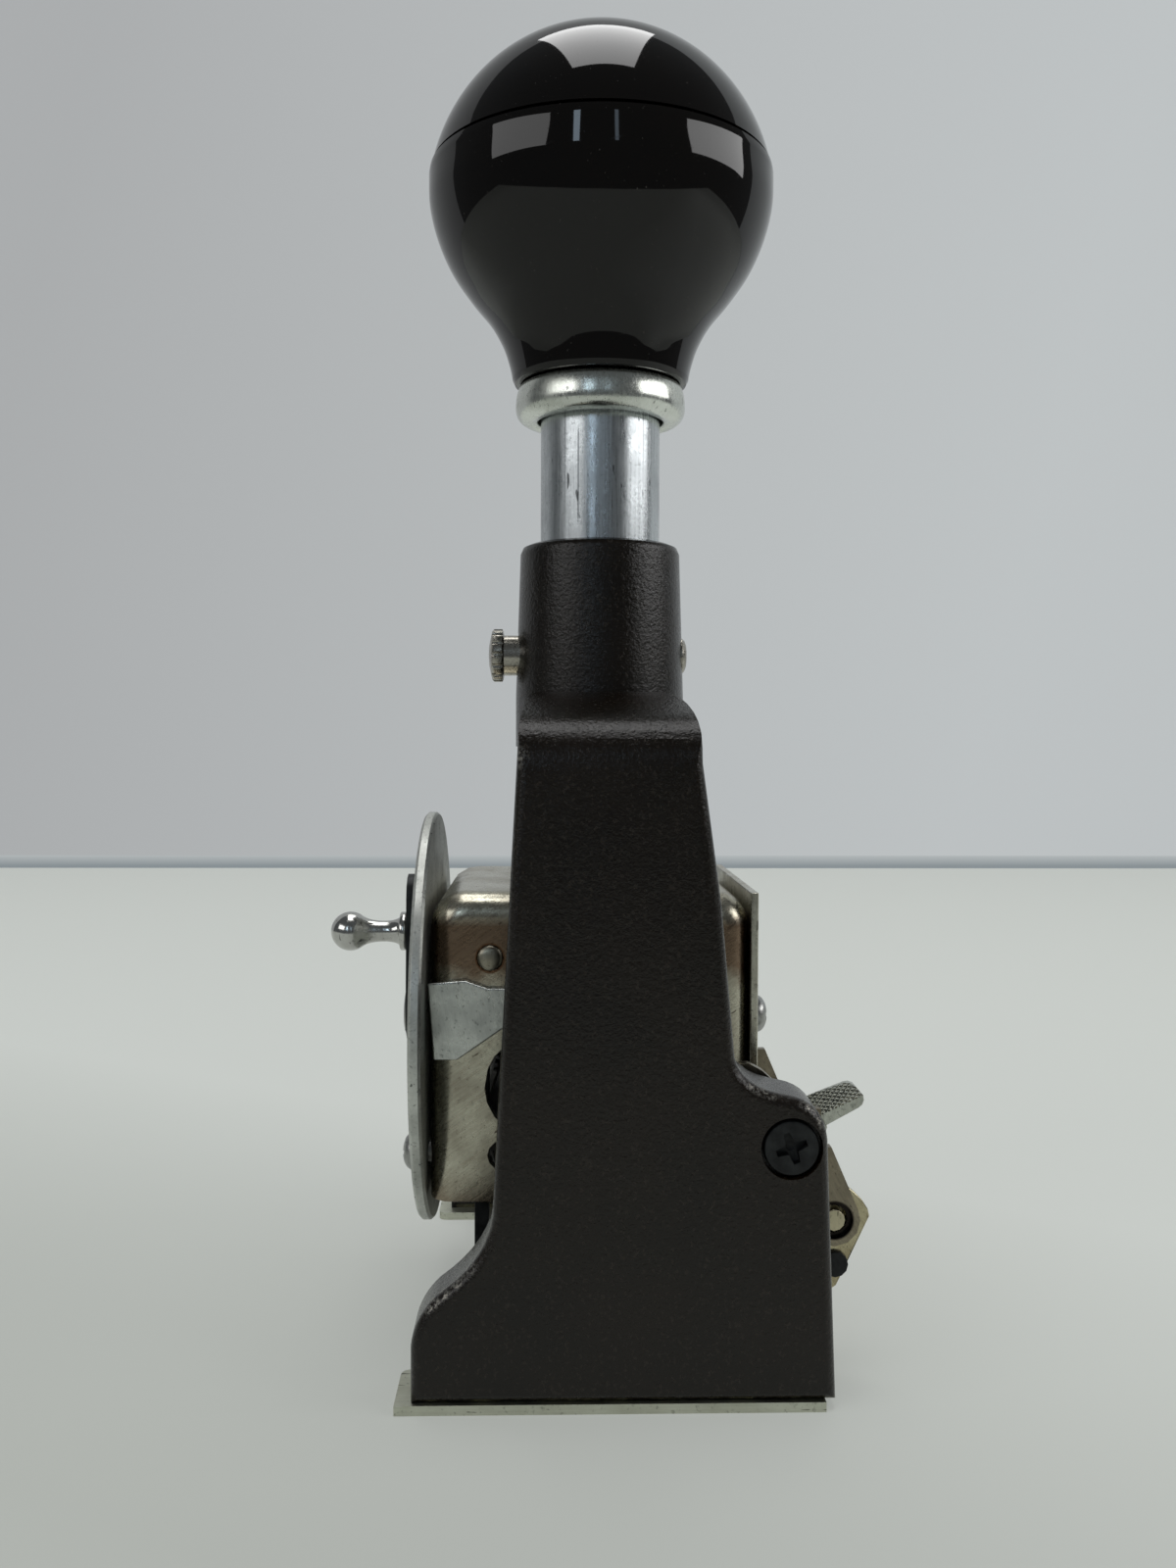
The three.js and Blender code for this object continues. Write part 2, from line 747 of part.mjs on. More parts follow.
function makeSpring() {
  const seatBottom = lockHeight + lockPin.neckRadius + clearance;
  const seatTop = seatBottom + springSeat.thickness;
  addNode('spring_seat', rodZ(0, 0, springSeat.radius, seatBottom, seatTop, mediumSides), 'steel');

  const bottom = seatTop + clearance + spring.wireRadius;
  const top = plungerTop - spring.wireRadius;
  const points = [];
  const steps = spring.turns * spring.stepsPerTurn;
  for (let i = 0; i <= steps; i++) {
    const angle = (2 * Math.PI * i) / spring.stepsPerTurn;
    points.push(new THREE.Vector3(spring.coilRadius * Math.cos(angle),
      spring.coilRadius * Math.sin(angle), bottom + ((top - bottom) * i) / steps));
  }
  const leastGap = (top - bottom) / spring.turns - 2 * spring.wireRadius;
  console.log(`return spring: least gap between turns ${leastGap.toFixed(2)} mm`);
  const route = new THREE.CatmullRomCurve3(points);
  const wire = circle(0, 0, spring.wireRadius, spring.sides);
  const coil = new THREE.ExtrudeGeometry(wire, { steps, extrudePath: route, bevelEnabled: false });
  addNode('return_spring', solidOf(coil), 'steel');
}

// Lock pin: slides front to rear across the barrel; its head has a scalloped rim

function makeLockPin() {
  const headBack = barrel.footRadius + lockPin.neckShows - clearance;
  const headFront = headBack + lockPin.headThickness;
  const rearEnd = barrel.footRadius + lockPin.rearShows - clearance;
  const shaft = turnedToFront([
    [0, -rearEnd],
    [lockPin.shankRadius, -rearEnd],
    [lockPin.shankRadius, lockPin.neckInner],
    [lockPin.neckRadius, lockPin.neckInner],
    [lockPin.neckRadius, headBack],
    [lockPin.headRadius, headBack],
    [lockPin.headRadius, headFront],
    [lockPin.headRadius - lockPin.domeHeight, headFront],
    [0, headFront + lockPin.domeHeight],
  ], 0, lockHeight, mediumSides);
  const cuts = [];
  for (let i = 0; i < lockPin.scallops; i++) {
    const angle = (2 * Math.PI * i) / lockPin.scallops;
    const x = lockPin.headRadius * Math.cos(angle);
    const z = lockHeight + lockPin.headRadius * Math.sin(angle);
    cuts.push(rodY(x, z, lockPin.scallopRadius, -headFront - overrun, -headBack + clearance, scallopSides));
  }
  addNode('lock_pin', without(shaft, cuts), 'nickel');
}

// Head case: a drawn box open below, with rounded edges, windows and bearing holes

function roundedBox(half, front, rear, bottom, top, radius) {
  const outline = roundedRectangle(-front + radius, rear - radius, bottom, top - radius, radius / 2);
  return prismX(outline, -half + radius, half - radius, {
    bevelEnabled: true,
    bevelThickness: radius,
    bevelSize: radius,
    bevelSegments: bevelSteps,
  });
}

function makeHeadCase() {
  const lower = head.bottom - 2 * head.cornerRadius;
  const outer = roundedBox(headHalf, head.front, head.rear, lower, head.top, head.cornerRadius);
  const innerRadius = head.cornerRadius - head.wall;
  const inner = roundedBox(headInner, head.front - head.wall, head.rear - head.wall,
    lower - overrun, head.top - head.wall, innerRadius);
  const wide = headHalf + overrun;
  const cuts = [
    inner,
    block(-wide, wide, -head.front - overrun, head.rear + overrun, lower - 2 * overrun, head.bottom),
    block(-wide, wide, head.reliefFront, head.rear + overrun, lower - overrun, head.reliefTop),
    rodX(-head.windowY, head.windowHeight, head.windowRadius, -wide, wide, mediumSides),
    rodX(-head.scallopY, head.scallopHeight, head.scallopRadius, -wide, wide),
    rodX(0, axle.height, axle.radius + clearance, -wide, wide),
    rodX(-detent.y, detentHeight, detent.shaftRadius + clearance, -wide, wide),
    rodZ(0, 0, plunger.studRadius + clearance, head.top - head.wall - overrun, head.top + overrun),
    rodY(0, dial.height, pivotScrew.shankRadius + clearance, -head.front - overrun, 0),
  ];
  for (const { sign } of sides) {
    cuts.push(rodY(sign * (headHalf - dial.screwInset), dial.screwHeight, domedScrew.shankRadius + clearance,
      -head.front - overrun, 0));
    cuts.push(rodY(sign * (headHalf - rearCover.screwInset), rearCover.screwHeight,
      domedScrew.shankRadius + clearance, 0, head.rear + overrun));
  }
  addNode('head_case', without(outer, cuts), 'nickel');
}

function makeHeadNut() {
  const top = head.top - head.wall;
  const body = rodZ(0, 0, nut.radius, nutBottom, top, nutSides);
  const bore = rodZ(0, 0, plunger.studRadius + clearance, nutBottom - overrun, top + overrun);
  addNode('head_nut', body.subtract(bore), 'steel');
}

// Guide blocks: they run in the leg channels and keep the head square

function makeGuides() {
  const outer = legInner + channel.depth - clearance;
  for (const { name, sign } of sides) {
    const outline = roundedRectangle(-guide.halfWidth, guide.halfWidth, guide.bottom, guide.top,
      guide.chamfer);
    const from = Math.min(sign * headHalf, sign * outer);
    const to = Math.max(sign * headHalf, sign * outer);
    addNode(`guide_block_${name}`, prismX(outline, from, to), 'steel');
  }
}

// Side ears of sheet metal beside the dial

function makeEars() {
  const front = head.front - ear.frontInset;
  const outline = polygon([
    [-front, ear.bottom],
    [-ear.notchY, ear.bottom],
    [-ear.riseY, ear.riseHeight],
    [-ear.rear, ear.rearHeight],
    [-ear.rear, ear.top - ear.dip],
    [-ear.dipY, ear.top - ear.dip],
    [-ear.notchY + ear.thickness, ear.top],
    [-head.front - ear.topReach, ear.top - ear.topFall],
  ]);
  for (const { name, sign } of sides) {
    const from = Math.min(sign * headHalf, sign * (headHalf + ear.thickness));
    addNode(`side_ear_${name}`, prismX(outline, from, from + ear.thickness), 'steel');
  }
}

// Dial: round plate on the front of the head, its screws, pointer and ball handle

function domedScrewSolid(x, z, faceY, direction, headHeight) {
  const face = rodY(x, z, domedScrew.headRadius, faceY, faceY + direction * headHeight / 2);
  const crown = rodY(x, z, domedScrew.crownRadius, faceY, faceY + direction * headHeight);
  const shank = rodY(x, z, domedScrew.shankRadius, faceY, faceY - direction * domedScrew.length);
  return joined([face, crown, shank]);
}

function makeDial() {
  const back = dial.front - dial.thickness;
  const r = dialRadius;
  const round = dial.edgeRound;
  const disc = turnedToFront([
    [0, back],
    [r - round, back],
    [r, back + round],
    [r, dial.front - round],
    [r - round, dial.front],
    [0, dial.front],
  ], 0, dial.height, roundSides + mediumSides);
  const holes = [
    rodY(0, dial.height, pivotScrew.shankRadius + clearance, -dial.front - overrun, 0),
  ];
  for (const { name, sign } of sides) {
    const x = sign * (headHalf - dial.screwInset);
    const screw = domedScrewSolid(x, dial.screwHeight, -dial.front, -1, domedScrew.frontHead);
    holes.push(rodY(x, dial.screwHeight, domedScrew.shankRadius + clearance, -dial.front - overrun, 0));
    addNode(`dial_screw_${name}`, screw, 'steel');
  }
  addNode('dial_plate', without(disc, holes), 'aluminium');
}

function makePointer() {
  const back = pointer.front - pointer.thickness;
  const bossBack = dial.front + clearance;
  const blade = prismY(strip(0, dial.height, pointer.hubRadius, 0, pointer.tipHeight, pointer.tipRadius),
    -pointer.front, -back);
  const boss = rodY(0, dial.height, pointer.bossRadius, -pointer.front, -bossBack, mediumSides);
  const holes = [
    rodY(0, dial.height, pivotScrew.shankRadius + clearance, -pointer.front - overrun, 0),
    rodY(0, pointer.ballHeight, ball.shankRadius + clearance, -pointer.front - overrun, 0),
  ];
  addNode('dial_pointer', without(joined([blade, boss]), holes), 'black');

  const screwTop = pointer.front + pivotScrew.headHeight;
  addNode('dial_pivot_screw', turnedToFront([
    [0, pointer.front - pivotScrew.length],
    [pivotScrew.shankRadius, pointer.front - pivotScrew.length],
    [pivotScrew.shankRadius, pointer.front],
    [pivotScrew.headRadius, pointer.front],
    [pivotScrew.crownRadius, screwTop],
    [0, screwTop],
  ], 0, dial.height, mediumSides), 'steel');

  const flangeFront = pointer.front + ball.flangeThickness;
  const ballCentre = pointer.front + ball.reach;
  const neckAngle = -Math.acos(ball.neckRadius / ball.radius);
  addNode('dial_ball', turnedToFront([
    [0, back],
    [ball.shankRadius, back],
    [ball.shankRadius, pointer.front],
    [ball.flangeRadius, pointer.front],
    [ball.flangeRadius, flangeFront],
    [(ball.flangeRadius + ball.neckRadius) / 2, flangeFront + ball.flangeThickness],
    [ball.neckRadius, flangeFront + 2 * ball.flangeThickness],
    ...quarterRound(0, ballCentre, ball.radius, neckAngle, Math.PI / 2, 2 * curveSteps).slice(0, -1),
    [0, ballCentre + ball.radius],
  ], 0, pointer.ballHeight), 'aluminium');
}

// Rear cover plate and its domed screws

function makeRearCover() {
  const outer = head.rear + rearCover.thickness;
  const side = headHalf - rearCover.sideInset;
  const plate = block(-side, side, head.rear, outer,
    head.top - rearCover.length, head.top);
  const holes = [];
  for (const { name, sign } of sides) {
    const x = sign * (headHalf - rearCover.screwInset);
    const screw = domedScrewSolid(x, rearCover.screwHeight, outer, 1, domedScrew.rearHead);
    holes.push(rodY(x, rearCover.screwHeight, domedScrew.shankRadius + clearance, 0, outer + overrun));
    addNode(`rear_screw_${name}`, screw, 'steel');
  }
  addNode('rear_cover', without(plate, holes), 'nickel');
}

// Number wheels on their axle: ten type faces on the rim and a ten-tooth ratchet on one side

function ratchetOutline() {
  const points = [];
  const root = wheels.ratchetRadius - wheels.ratchetDepth;
  for (let i = 0; i < wheels.digits; i++) {
    const angle = (2 * Math.PI * i) / wheels.digits;
    points.push([wheels.ratchetRadius * Math.cos(angle), wheels.ratchetRadius * Math.sin(angle)]);
    points.push([root * Math.cos(angle), root * Math.sin(angle)]);
  }
  return polygon(points.map(([y, z]) => [y, z + axle.height]));
}

// One raised flat for each digit, with the rim between them
function wheelOutline() {
  const points = [];
  const half = wheels.facetHalfWidth;
  const reach = Math.sqrt(wheels.radius ** 2 - half ** 2);
  const foot = Math.sqrt(wheels.rimRadius ** 2 - half ** 2);
  for (let i = 0; i < wheels.digits; i++) {
    const angle = (2 * Math.PI * i) / wheels.digits - Math.PI / 2;
    const corners = [[foot, -half], [reach, -half], [reach, half], [foot, half]];
    for (const [out, side] of corners) {
      points.push([out * Math.cos(angle) - side * Math.sin(angle),
        axle.height + out * Math.sin(angle) + side * Math.cos(angle)]);
    }
  }
  return polygon(points);
}

function makeNumberWheels() {
  for (let i = 0; i < wheels.count; i++) {
    const left = -wheelStackHalf + i * wheelPitch;
    const discRight = left + discWidth;
    const right = discRight + wheels.ratchetWidth;
    const disc = prismX(wheelOutline(), left, discRight);
    const ratchet = prismX(ratchetOutline(), left, right);
    const bore = rodX(0, axle.height, axle.radius + wheels.boreClearance, left - overrun, right + overrun);
    addNode(`number_wheel_${i + 1}`, joined([disc, ratchet]).subtract(bore), 'steel');
  }
}

function makeAxle() {
  const end = headHalf + axle.endShows;
  addNode('wheel_axle', rodX(0, axle.height, axle.radius, -end, end), 'steel');
  for (const { name, sign } of sides) {
    const bore = rodX(0, axle.height, axle.radius + clearance, sign * cheekInner, sign * (end + overrun));
    const clipInner = headHalf + clip.gap;
    const ring = rodX(0, axle.height, clip.radius, sign * clipInner, sign * (clipInner + clip.thickness));
    addNode(`axle_clip_${name}`, ring.subtract(bore), 'black');
    const bush = rodX(0, axle.height, spacer.radius,
      sign * (cheekOuter + spacer.gap), sign * (headInner - spacer.gap));
    addNode(`axle_spacer_${name}`, bush.subtract(bore), 'steel');
  }
}

// Swing frame: two cheeks on the axle joined by a bar; it carries the shaft of the drive comb

function makeSwingFrame() {
  const pieces = [];
  const cuts = [];
  for (const { sign } of sides) {
    const from = Math.min(sign * cheekInner, sign * cheekOuter);
    const cheek = prismX(strip(0, axle.height, swing.hubRadius,
      swing.shaftY, driveShaftHeight, swing.armHalfWidth), from, from + swing.cheekThickness);
    pieces.push(cheek);
  }
  const barBottom = driveShaftHeight + comb.tubeRadius + clearance;
  const barTop = barBottom + swing.barThickness;
  pieces.push(block(-cheekOuter, cheekOuter, swing.shaftY - swing.barWidth / 2,
    swing.shaftY + swing.barWidth / 2, barBottom, barTop));
  for (const { sign } of sides) {
    const post = block(sign * cheekInner, sign * cheekOuter, swing.shaftY - swing.barWidth / 2,
      swing.shaftY + swing.barWidth / 2, driveShaftHeight, barTop);
    pieces.push(post);
  }
  cuts.push(rodX(0, axle.height, axle.radius + clearance, -cheekOuter - overrun, cheekOuter + overrun));
  cuts.push(rodX(swing.shaftY, driveShaftHeight, swing.shaftRadius + clearance,
    -cheekOuter - overrun, cheekOuter + overrun));
  addNode('swing_frame', without(joined(pieces), cuts), 'steel');
  addNode('drive_shaft', rodX(swing.shaftY, driveShaftHeight, swing.shaftRadius,
    -cheekOuter - clearance, cheekOuter + clearance), 'steel');
}

// Combs: a tube on a shaft with one thin finger for each ratchet

function combSolid(shaftY, shaftHeight, shaftRadius) {
  const length = Math.hypot(shaftY, shaftHeight - axle.height);
  const outY = shaftY / length;
  const outZ = (shaftHeight - axle.height) / length;
  const tip = wheels.ratchetRadius + comb.tipGap + comb.fingerHalfDepth;
  const half = cheekInner - comb.tubeGap;
  const pieces = [rodX(shaftY, shaftHeight, comb.tubeRadius, -half, half)];
  const outline = strip(tip * outY, axle.height + tip * outZ, comb.fingerHalfDepth,
    shaftY, shaftHeight, comb.fingerHalfDepth);
  const gap = wheelPitch - discWidth;
  for (let i = 0; i < wheels.count; i++) {
    const slotLeft = -wheelStackHalf + i * wheelPitch + discWidth;
    const left = slotLeft + (gap - comb.fingerWidth) / 2;
    pieces.push(prismX(outline, left, left + comb.fingerWidth));
  }
  const bore = rodX(shaftY, shaftHeight, shaftRadius + clearance, -half - overrun, half + overrun);
  return joined(pieces).subtract(bore);
}

function makeCombs() {
  addNode('drive_comb', combSolid(swing.shaftY, driveShaftHeight, swing.shaftRadius), 'steel');
  addNode('detent_comb', combSolid(-detent.y, detentHeight, detent.shaftRadius), 'steel');
  const end = headHalf + detent.endShows;
  addNode('detent_shaft', rodX(-detent.y, detentHeight, detent.shaftRadius, -end, end), 'steel');
}

// Trip lever: a narrow black strip that hangs from the detent shaft beside the wheels

function makeTripLever() {
  const right = headInner - trip.inset;
  const left = right - trip.width;
  const hanging = block(left, right, -trip.y - trip.halfDepth, -trip.y + trip.halfDepth,
    trip.bottom, detentHeight);
  const ring = rodX(-detent.y, detentHeight, trip.ringRadius, left, right);
  const bore = rodX(-detent.y, detentHeight, detent.shaftRadius + clearance,
    left - overrun, right + overrun);
  addNode('trip_lever', joined([hanging, ring]).subtract(bore), 'black');
}

// Ink arms: each hangs on its leg screw, and its fork straddles a pin on the head

function makeInkArms() {
  for (const { name, sign } of sides) {
    const from = Math.min(sign * armInner, sign * armOuter);
    const to = from + arm.thickness;
    const towardPin = Math.atan2(drivePinHeight - arm.pivotHeight, arm.pinY - arm.pivotY);
    const along = (distance) => [
      arm.pivotY + distance * Math.cos(towardPin),
      arm.pivotHeight + distance * Math.sin(towardPin),
    ];
    const [forkY, forkZ] = along(arm.forkLength - arm.forkHalfWidth);
    const slotRadius = arm.pinRadius + arm.pinSlack;
    const [rootY, rootZ] = along(arm.forkRoot + slotRadius);
    const [mouthY, mouthZ] = along(arm.forkLength + overrun);
    const pieces = [
      prismX(strip(arm.pivotY, arm.pivotHeight, arm.hubRadius,
        arm.rivetY, arm.rivetHeight, arm.endRadius), from, to),
      prismX(strip(arm.pivotY, arm.pivotHeight, arm.forkHalfWidth,
        forkY, forkZ, arm.forkHalfWidth), from, to),
    ];
    const low = from - overrun;
    const high = to + overrun;
    const ringFloor = sign * (armOuter - rivet.ringDepth);
    const cuts = [
      rodX(arm.pivotY, arm.pivotHeight, armScrew.shankRadius + clearance, low, high),
      prismX(strip(rootY, rootZ, slotRadius, mouthY, mouthZ, slotRadius), low, high),
      rodX(arm.rivetY, arm.rivetHeight, rivet.radius + clearance, low, high),
      rodX(arm.rivetY, arm.rivetHeight, rivet.ringRadius, ringFloor, sign * (armOuter + overrun)),
    ];
    if (sign > 0) {
      pieces.push(prismX(strip(arm.pivotY, arm.pivotHeight, tab.lugHalfWidth,
        tab.pegY, tab.pegHeight, tab.lugHalfWidth), from, to));
      cuts.push(rodX(tab.pegY, tab.pegHeight, tab.pegRadius + clearance, low, high));
    }
    addNode(`ink_arm_${name}`, without(joined(pieces), cuts), 'nickel');

    const pin = rodX(arm.pinY, drivePinHeight, arm.pinRadius, sign * headHalf,
      sign * (legInner - arm.pinEndGap));
    addNode(`drive_pin_${name}`, pin, 'steel');
  }
}

// Thumb tab: a tapered key on the right arm, for swinging the pad out by hand. Its knurled upper face
// falls toward the outside.

function makeThumbTab() {
  const tilt = THREE.MathUtils.degToRad(tab.tilt);
  const slope = Math.atan2(tab.faceDrop, tab.length);
  const outer = armInner - clearance;
  const inner = outer - tab.length;
  const along = (distance) => [
    tab.y + distance * Math.cos(tilt),
    tab.height + distance * Math.sin(tilt),
  ];
  const root = along(tab.rootRadius - tab.halfLength);
  const tip = along(tab.halfLength - tab.tipRadius);
  const key = prismX(strip(...root, tab.rootRadius, ...tip, tab.tipRadius), inner, outer);
  const kept = new THREE.Vector3(
    -Math.sin(slope),
    Math.sin(tilt) * Math.cos(slope),
    -Math.cos(tilt) * Math.cos(slope),
  );
  const innerEdge = new THREE.Vector3(
    inner,
    tab.y - tab.rootRadius * Math.sin(tilt),
    tab.height + tab.rootRadius * Math.cos(tilt),
  );
  const sloped = key.trimByPlane(kept.toArray(), kept.dot(innerEdge));
  const peg = rodX(tab.pegY, tab.pegHeight, tab.pegRadius, outer - tab.length / 2, armOuter);
  addNode('thumb_tab', joined([sloped, peg]), 'steel');
}

// Ink tray: a shallow pan under the wheels whose rear cheeks hang on the arm rivets

function makeTray() {
  const trayHalf = headInner - tray.sideInset;
  const pan = block(-trayHalf, trayHalf, -tray.front, tray.rear, tray.bottom, tray.lipTop);
  const inside = trayHalf - tray.wall;
  const hollow = block(-inside, inside, -tray.front + tray.wall, tray.rear + overrun,
    tray.bottom + tray.wall, tray.lipTop + overrun);
  const cross = block(-trayCheekOuter, trayCheekOuter, tray.rear, tray.rear + tray.wall,
    tray.bottom, tray.crossTop);
  const pieces = [pan.subtract(hollow), cross];
  const cuts = [];
  const cheekOutline = new THREE.Shape();
  cheekOutline.moveTo(tray.rear, tray.bottom);
  cheekOutline.lineTo(tray.cheekFootY, tray.cheekFoot);
  cheekOutline.lineTo(tray.noseY, tray.noseHeight);
  cheekOutline.quadraticCurveTo(tray.noseY, tray.noseTop, tray.crownY, tray.crownHeight);
  cheekOutline.lineTo(tray.rear, tray.cheekFrontHeight);
  cheekOutline.closePath();
  const wide = trayCheekOuter + overrun;
  for (const { sign } of sides) {
    const outer = sign * trayCheekOuter;
    const inner = sign * (trayCheekOuter - tray.wall);
    pieces.push(prismX(cheekOutline, Math.min(outer, inner), Math.max(outer, inner)));
  }
  cuts.push(rodX(arm.rivetY, arm.rivetHeight, rivet.radius + clearance, -wide, wide));
  cuts.push(rodX(stud.y, stud.height, stud.shankRadius + clearance, -wide, wide));
  addNode('ink_tray', without(joined(pieces), cuts), 'nickel');

  const padInside = inside - pad.gap;
  const floor = tray.bottom + tray.wall + pad.gap;
  const crownTop = pad.top;
  const padFront = -tray.front + tray.wall + pad.gap;
  const outline = polygon([
    [padFront, floor],
    [pad.rear, floor],
    [pad.rear, crownTop - pad.crown],
    [pad.rear - pad.crown, crownTop],
    [padFront + pad.crown, crownTop],
    [padFront, crownTop - pad.crown],
  ]);
  addNode('ink_pad', prismX(outline, -padInside, padInside), 'felt');
}

function makeTrayFasteners() {
  const cheekInnerFace = trayCheekOuter - tray.wall;
  for (const { name, sign } of sides) {
    const inside = cheekInnerFace - rivet.headThickness;
    const shank = rodX(arm.rivetY, arm.rivetHeight, rivet.radius, sign * inside, sign * armOuter);
    const headPiece = rodX(arm.rivetY, arm.rivetHeight, rivet.headRadius,
      sign * inside, sign * cheekInnerFace);
    addNode(`arm_rivet_${name}`, joined([shank, headPiece]), 'nickel');

    const studHead = rodX(stud.y, stud.height, stud.headRadius,
      sign * trayCheekOuter, sign * (trayCheekOuter + stud.headThickness));
    const studShank = rodX(stud.y, stud.height, stud.shankRadius,
      sign * cheekInnerFace, sign * trayCheekOuter);
    addNode(`tray_stud_${name}`, joined([studHead, studShank]), 'black');
  }
}

makeBasePlate();
makeBaseScrews();
makeFrame();
makeArmScrews();
makePlunger();
makeCollar();
makeKnob();
makeSpring();
makeLockPin();
makeHeadCase();
makeHeadNut();
makeGuides();
makeEars();
makeDial();
makePointer();
makeRearCover();
makeNumberWheels();
makeAxle();
makeSwingFrame();
makeCombs();
makeTripLever();
makeInkArms();
makeThumbTab();
makeTray();
makeTrayFasteners();

// The machine stands with the middle of its box over the origin

const frontReach = pointer.front + ball.reach + ball.radius;
machine.position.y = (frontReach - tray.noseY) / 2;

export default machine;
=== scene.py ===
"""Hand numbering machine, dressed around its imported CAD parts.

Sizes are in millimetres until a piece is placed. The plunger runs along Z, the dial is toward -Y and
the ink pad toward +Y, as in the CAD. Finishes count in metres, as Object coordinates do.
"""

import json
import math

import bmesh
import bpy
from mathutils import Matrix, Vector


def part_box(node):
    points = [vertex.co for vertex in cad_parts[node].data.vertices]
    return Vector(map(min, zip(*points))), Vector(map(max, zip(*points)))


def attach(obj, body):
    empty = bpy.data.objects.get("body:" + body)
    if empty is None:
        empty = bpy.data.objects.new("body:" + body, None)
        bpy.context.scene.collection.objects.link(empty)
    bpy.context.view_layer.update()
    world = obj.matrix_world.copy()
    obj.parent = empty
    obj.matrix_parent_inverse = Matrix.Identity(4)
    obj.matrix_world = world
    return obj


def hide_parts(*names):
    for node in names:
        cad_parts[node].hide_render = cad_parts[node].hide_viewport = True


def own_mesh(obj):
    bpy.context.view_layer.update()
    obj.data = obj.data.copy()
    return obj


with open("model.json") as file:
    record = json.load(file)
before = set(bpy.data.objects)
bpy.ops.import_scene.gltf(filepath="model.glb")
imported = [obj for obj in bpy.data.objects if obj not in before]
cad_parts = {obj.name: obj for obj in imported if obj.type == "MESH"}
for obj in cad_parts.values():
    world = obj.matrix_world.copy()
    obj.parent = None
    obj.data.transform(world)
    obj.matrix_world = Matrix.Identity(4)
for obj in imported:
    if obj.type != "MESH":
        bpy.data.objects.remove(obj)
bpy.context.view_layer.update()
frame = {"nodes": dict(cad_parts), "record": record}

# Table, wall, light and camera. The machine stands on a pale table in front of a grey wall. Soft panels
# light it from above and from both sides, and the camera looks at its right side from the bridge's height.

MM = 0.001
tube_low, tube_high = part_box("plunger_tube")
AXIS_Y = (tube_low.y + tube_high.y) / 2 / MM


class Value:
    """A number, colour or vector inside a material, so that sums on it are written as plain Python."""

    def __init__(self, tree, socket=None):
        self.tree = tree
        self.socket = socket

    def node(self, kind, settings, inputs, output=0):
        """One output of a new node, made from its settings and the values or links of its inputs."""
        made = self.tree.nodes.new("ShaderNode" + kind)
        for name, setting in settings.items():
            setattr(made, name, setting)
        for name, value in inputs.items():
            if isinstance(value, Value):
                self.tree.links.new(value.socket, made.inputs[name])
            else:
                made.inputs[name].default_value = value
        return Value(self.tree, made.outputs[output])

    def math(self, operation, first, second=0.0):
        return self.node("Math", {"operation": operation}, {0: first, 1: second})

    def __add__(self, other):
        return self.math("ADD", self, other)

    def __radd__(self, other):
        return self.math("ADD", other, self)

    def __sub__(self, other):
        return self.math("SUBTRACT", self, other)

    def __rsub__(self, other):
        return self.math("SUBTRACT", other, self)

    def __mul__(self, other):
        return self.math("MULTIPLY", self, other)

    def __rmul__(self, other):
        return self.math("MULTIPLY", other, self)


def linear(red, green, blue):
    """A colour given in 0 to 255 steps of sRGB, as the linear colour that a shader takes."""
    shares = [step / 255 for step in (red, green, blue)]
    return tuple(s / 12.92 if s <= 0.04045 else ((s + 0.055) / 1.055) ** 2.4 for s in shares)


def new_material(name):
    """A material with no nodes, and the value that its nodes start from."""
    material = bpy.data.materials.new(name)
    material.use_nodes = True
    material.node_tree.nodes.clear()
    return material, Value(material.node_tree)


def show(material, shader):
    output = material.node_tree.nodes.new("ShaderNodeOutputMaterial")
    material.node_tree.links.new(shader.socket, output.inputs["Surface"])
    return material


def new_object(name, shape, material):
    mesh = bpy.data.meshes.new(name)
    shape.to_mesh(mesh)
    shape.free()
    mesh.materials.append(material)
    thing = bpy.data.objects.new(name, mesh)
    bpy.context.scene.collection.objects.link(thing)
    return thing


def flat_sheet(corners):
    shape = bmesh.new()
    shape.faces.new([shape.verts.new(corner) for corner in corners])
    return shape


def at_object(start):
    return start.node("TexCoord", {}, {}, "Object")


def between(value, low, high):
    """The value's share of the way from low to high, kept between 0 and 1."""
    return value.node("MapRange", {"clamp": True}, {"Value": value, "From Min": low, "From Max": high})


def larger(first, second):
    return first.math("MAXIMUM", first, second)


def blended(factor, first, second):
    """A colour between two, each a value or a plain linear colour."""
    colours = [c if isinstance(c, Value) else (*c, 1) for c in (first, second)]
    return factor.node("Mix", {"data_type": "RGBA"}, {0: factor, 6: colours[0], 7: colours[1]}, 2)


def stage_material(name, lit, direction, low, high, low_colour, high_colour):
    """Pale backdrop graded in a direction as painted light and shade; camera and metal see a lit share of
    it glow.
    """
    material, start = new_material(name)
    product = {"operation": "DOT_PRODUCT"}
    spread = start.node("VectorMath", product, {0: at_object(start), 1: direction}, "Value")
    colour = blended(between(spread, low, high), low_colour, high_colour)
    paint = start.node("BsdfDiffuse", {}, {"Color": colour})
    glow = start.node("Emission", {}, {"Color": colour, "Strength": 1.0})
    kinds = ("Camera", "Glossy", "Transmission")
    camera_ray, glossy, through = [start.node("LightPath", {}, {}, f"Is {kind} Ray") for kind in kinds]
    seen = larger(larger(camera_ray, glossy), through)
    return show(material, start.node("MixShader", {}, {0: seen * lit, 1: paint, 2: glow}))


table_back = -0.505
table_front = 0.3
table_side = 0.9
# Painted light: the table is darker toward the camera and the left, and lighter far back and to the right
# where the windows light it.
table_painted_light = stage_material(
    "table_painted_light", lit=0.5, direction=(-1, 0.6, 0), low=-0.07, high=0.06,
    low_colour=linear(183, 186, 180), high_colour=linear(208, 211, 206))
table = new_object("table_top", flat_sheet([
    (table_back, -table_side, 0), (table_front, -table_side, 0),
    (table_front, table_side, 0), (table_back, table_side, 0)]), table_painted_light)
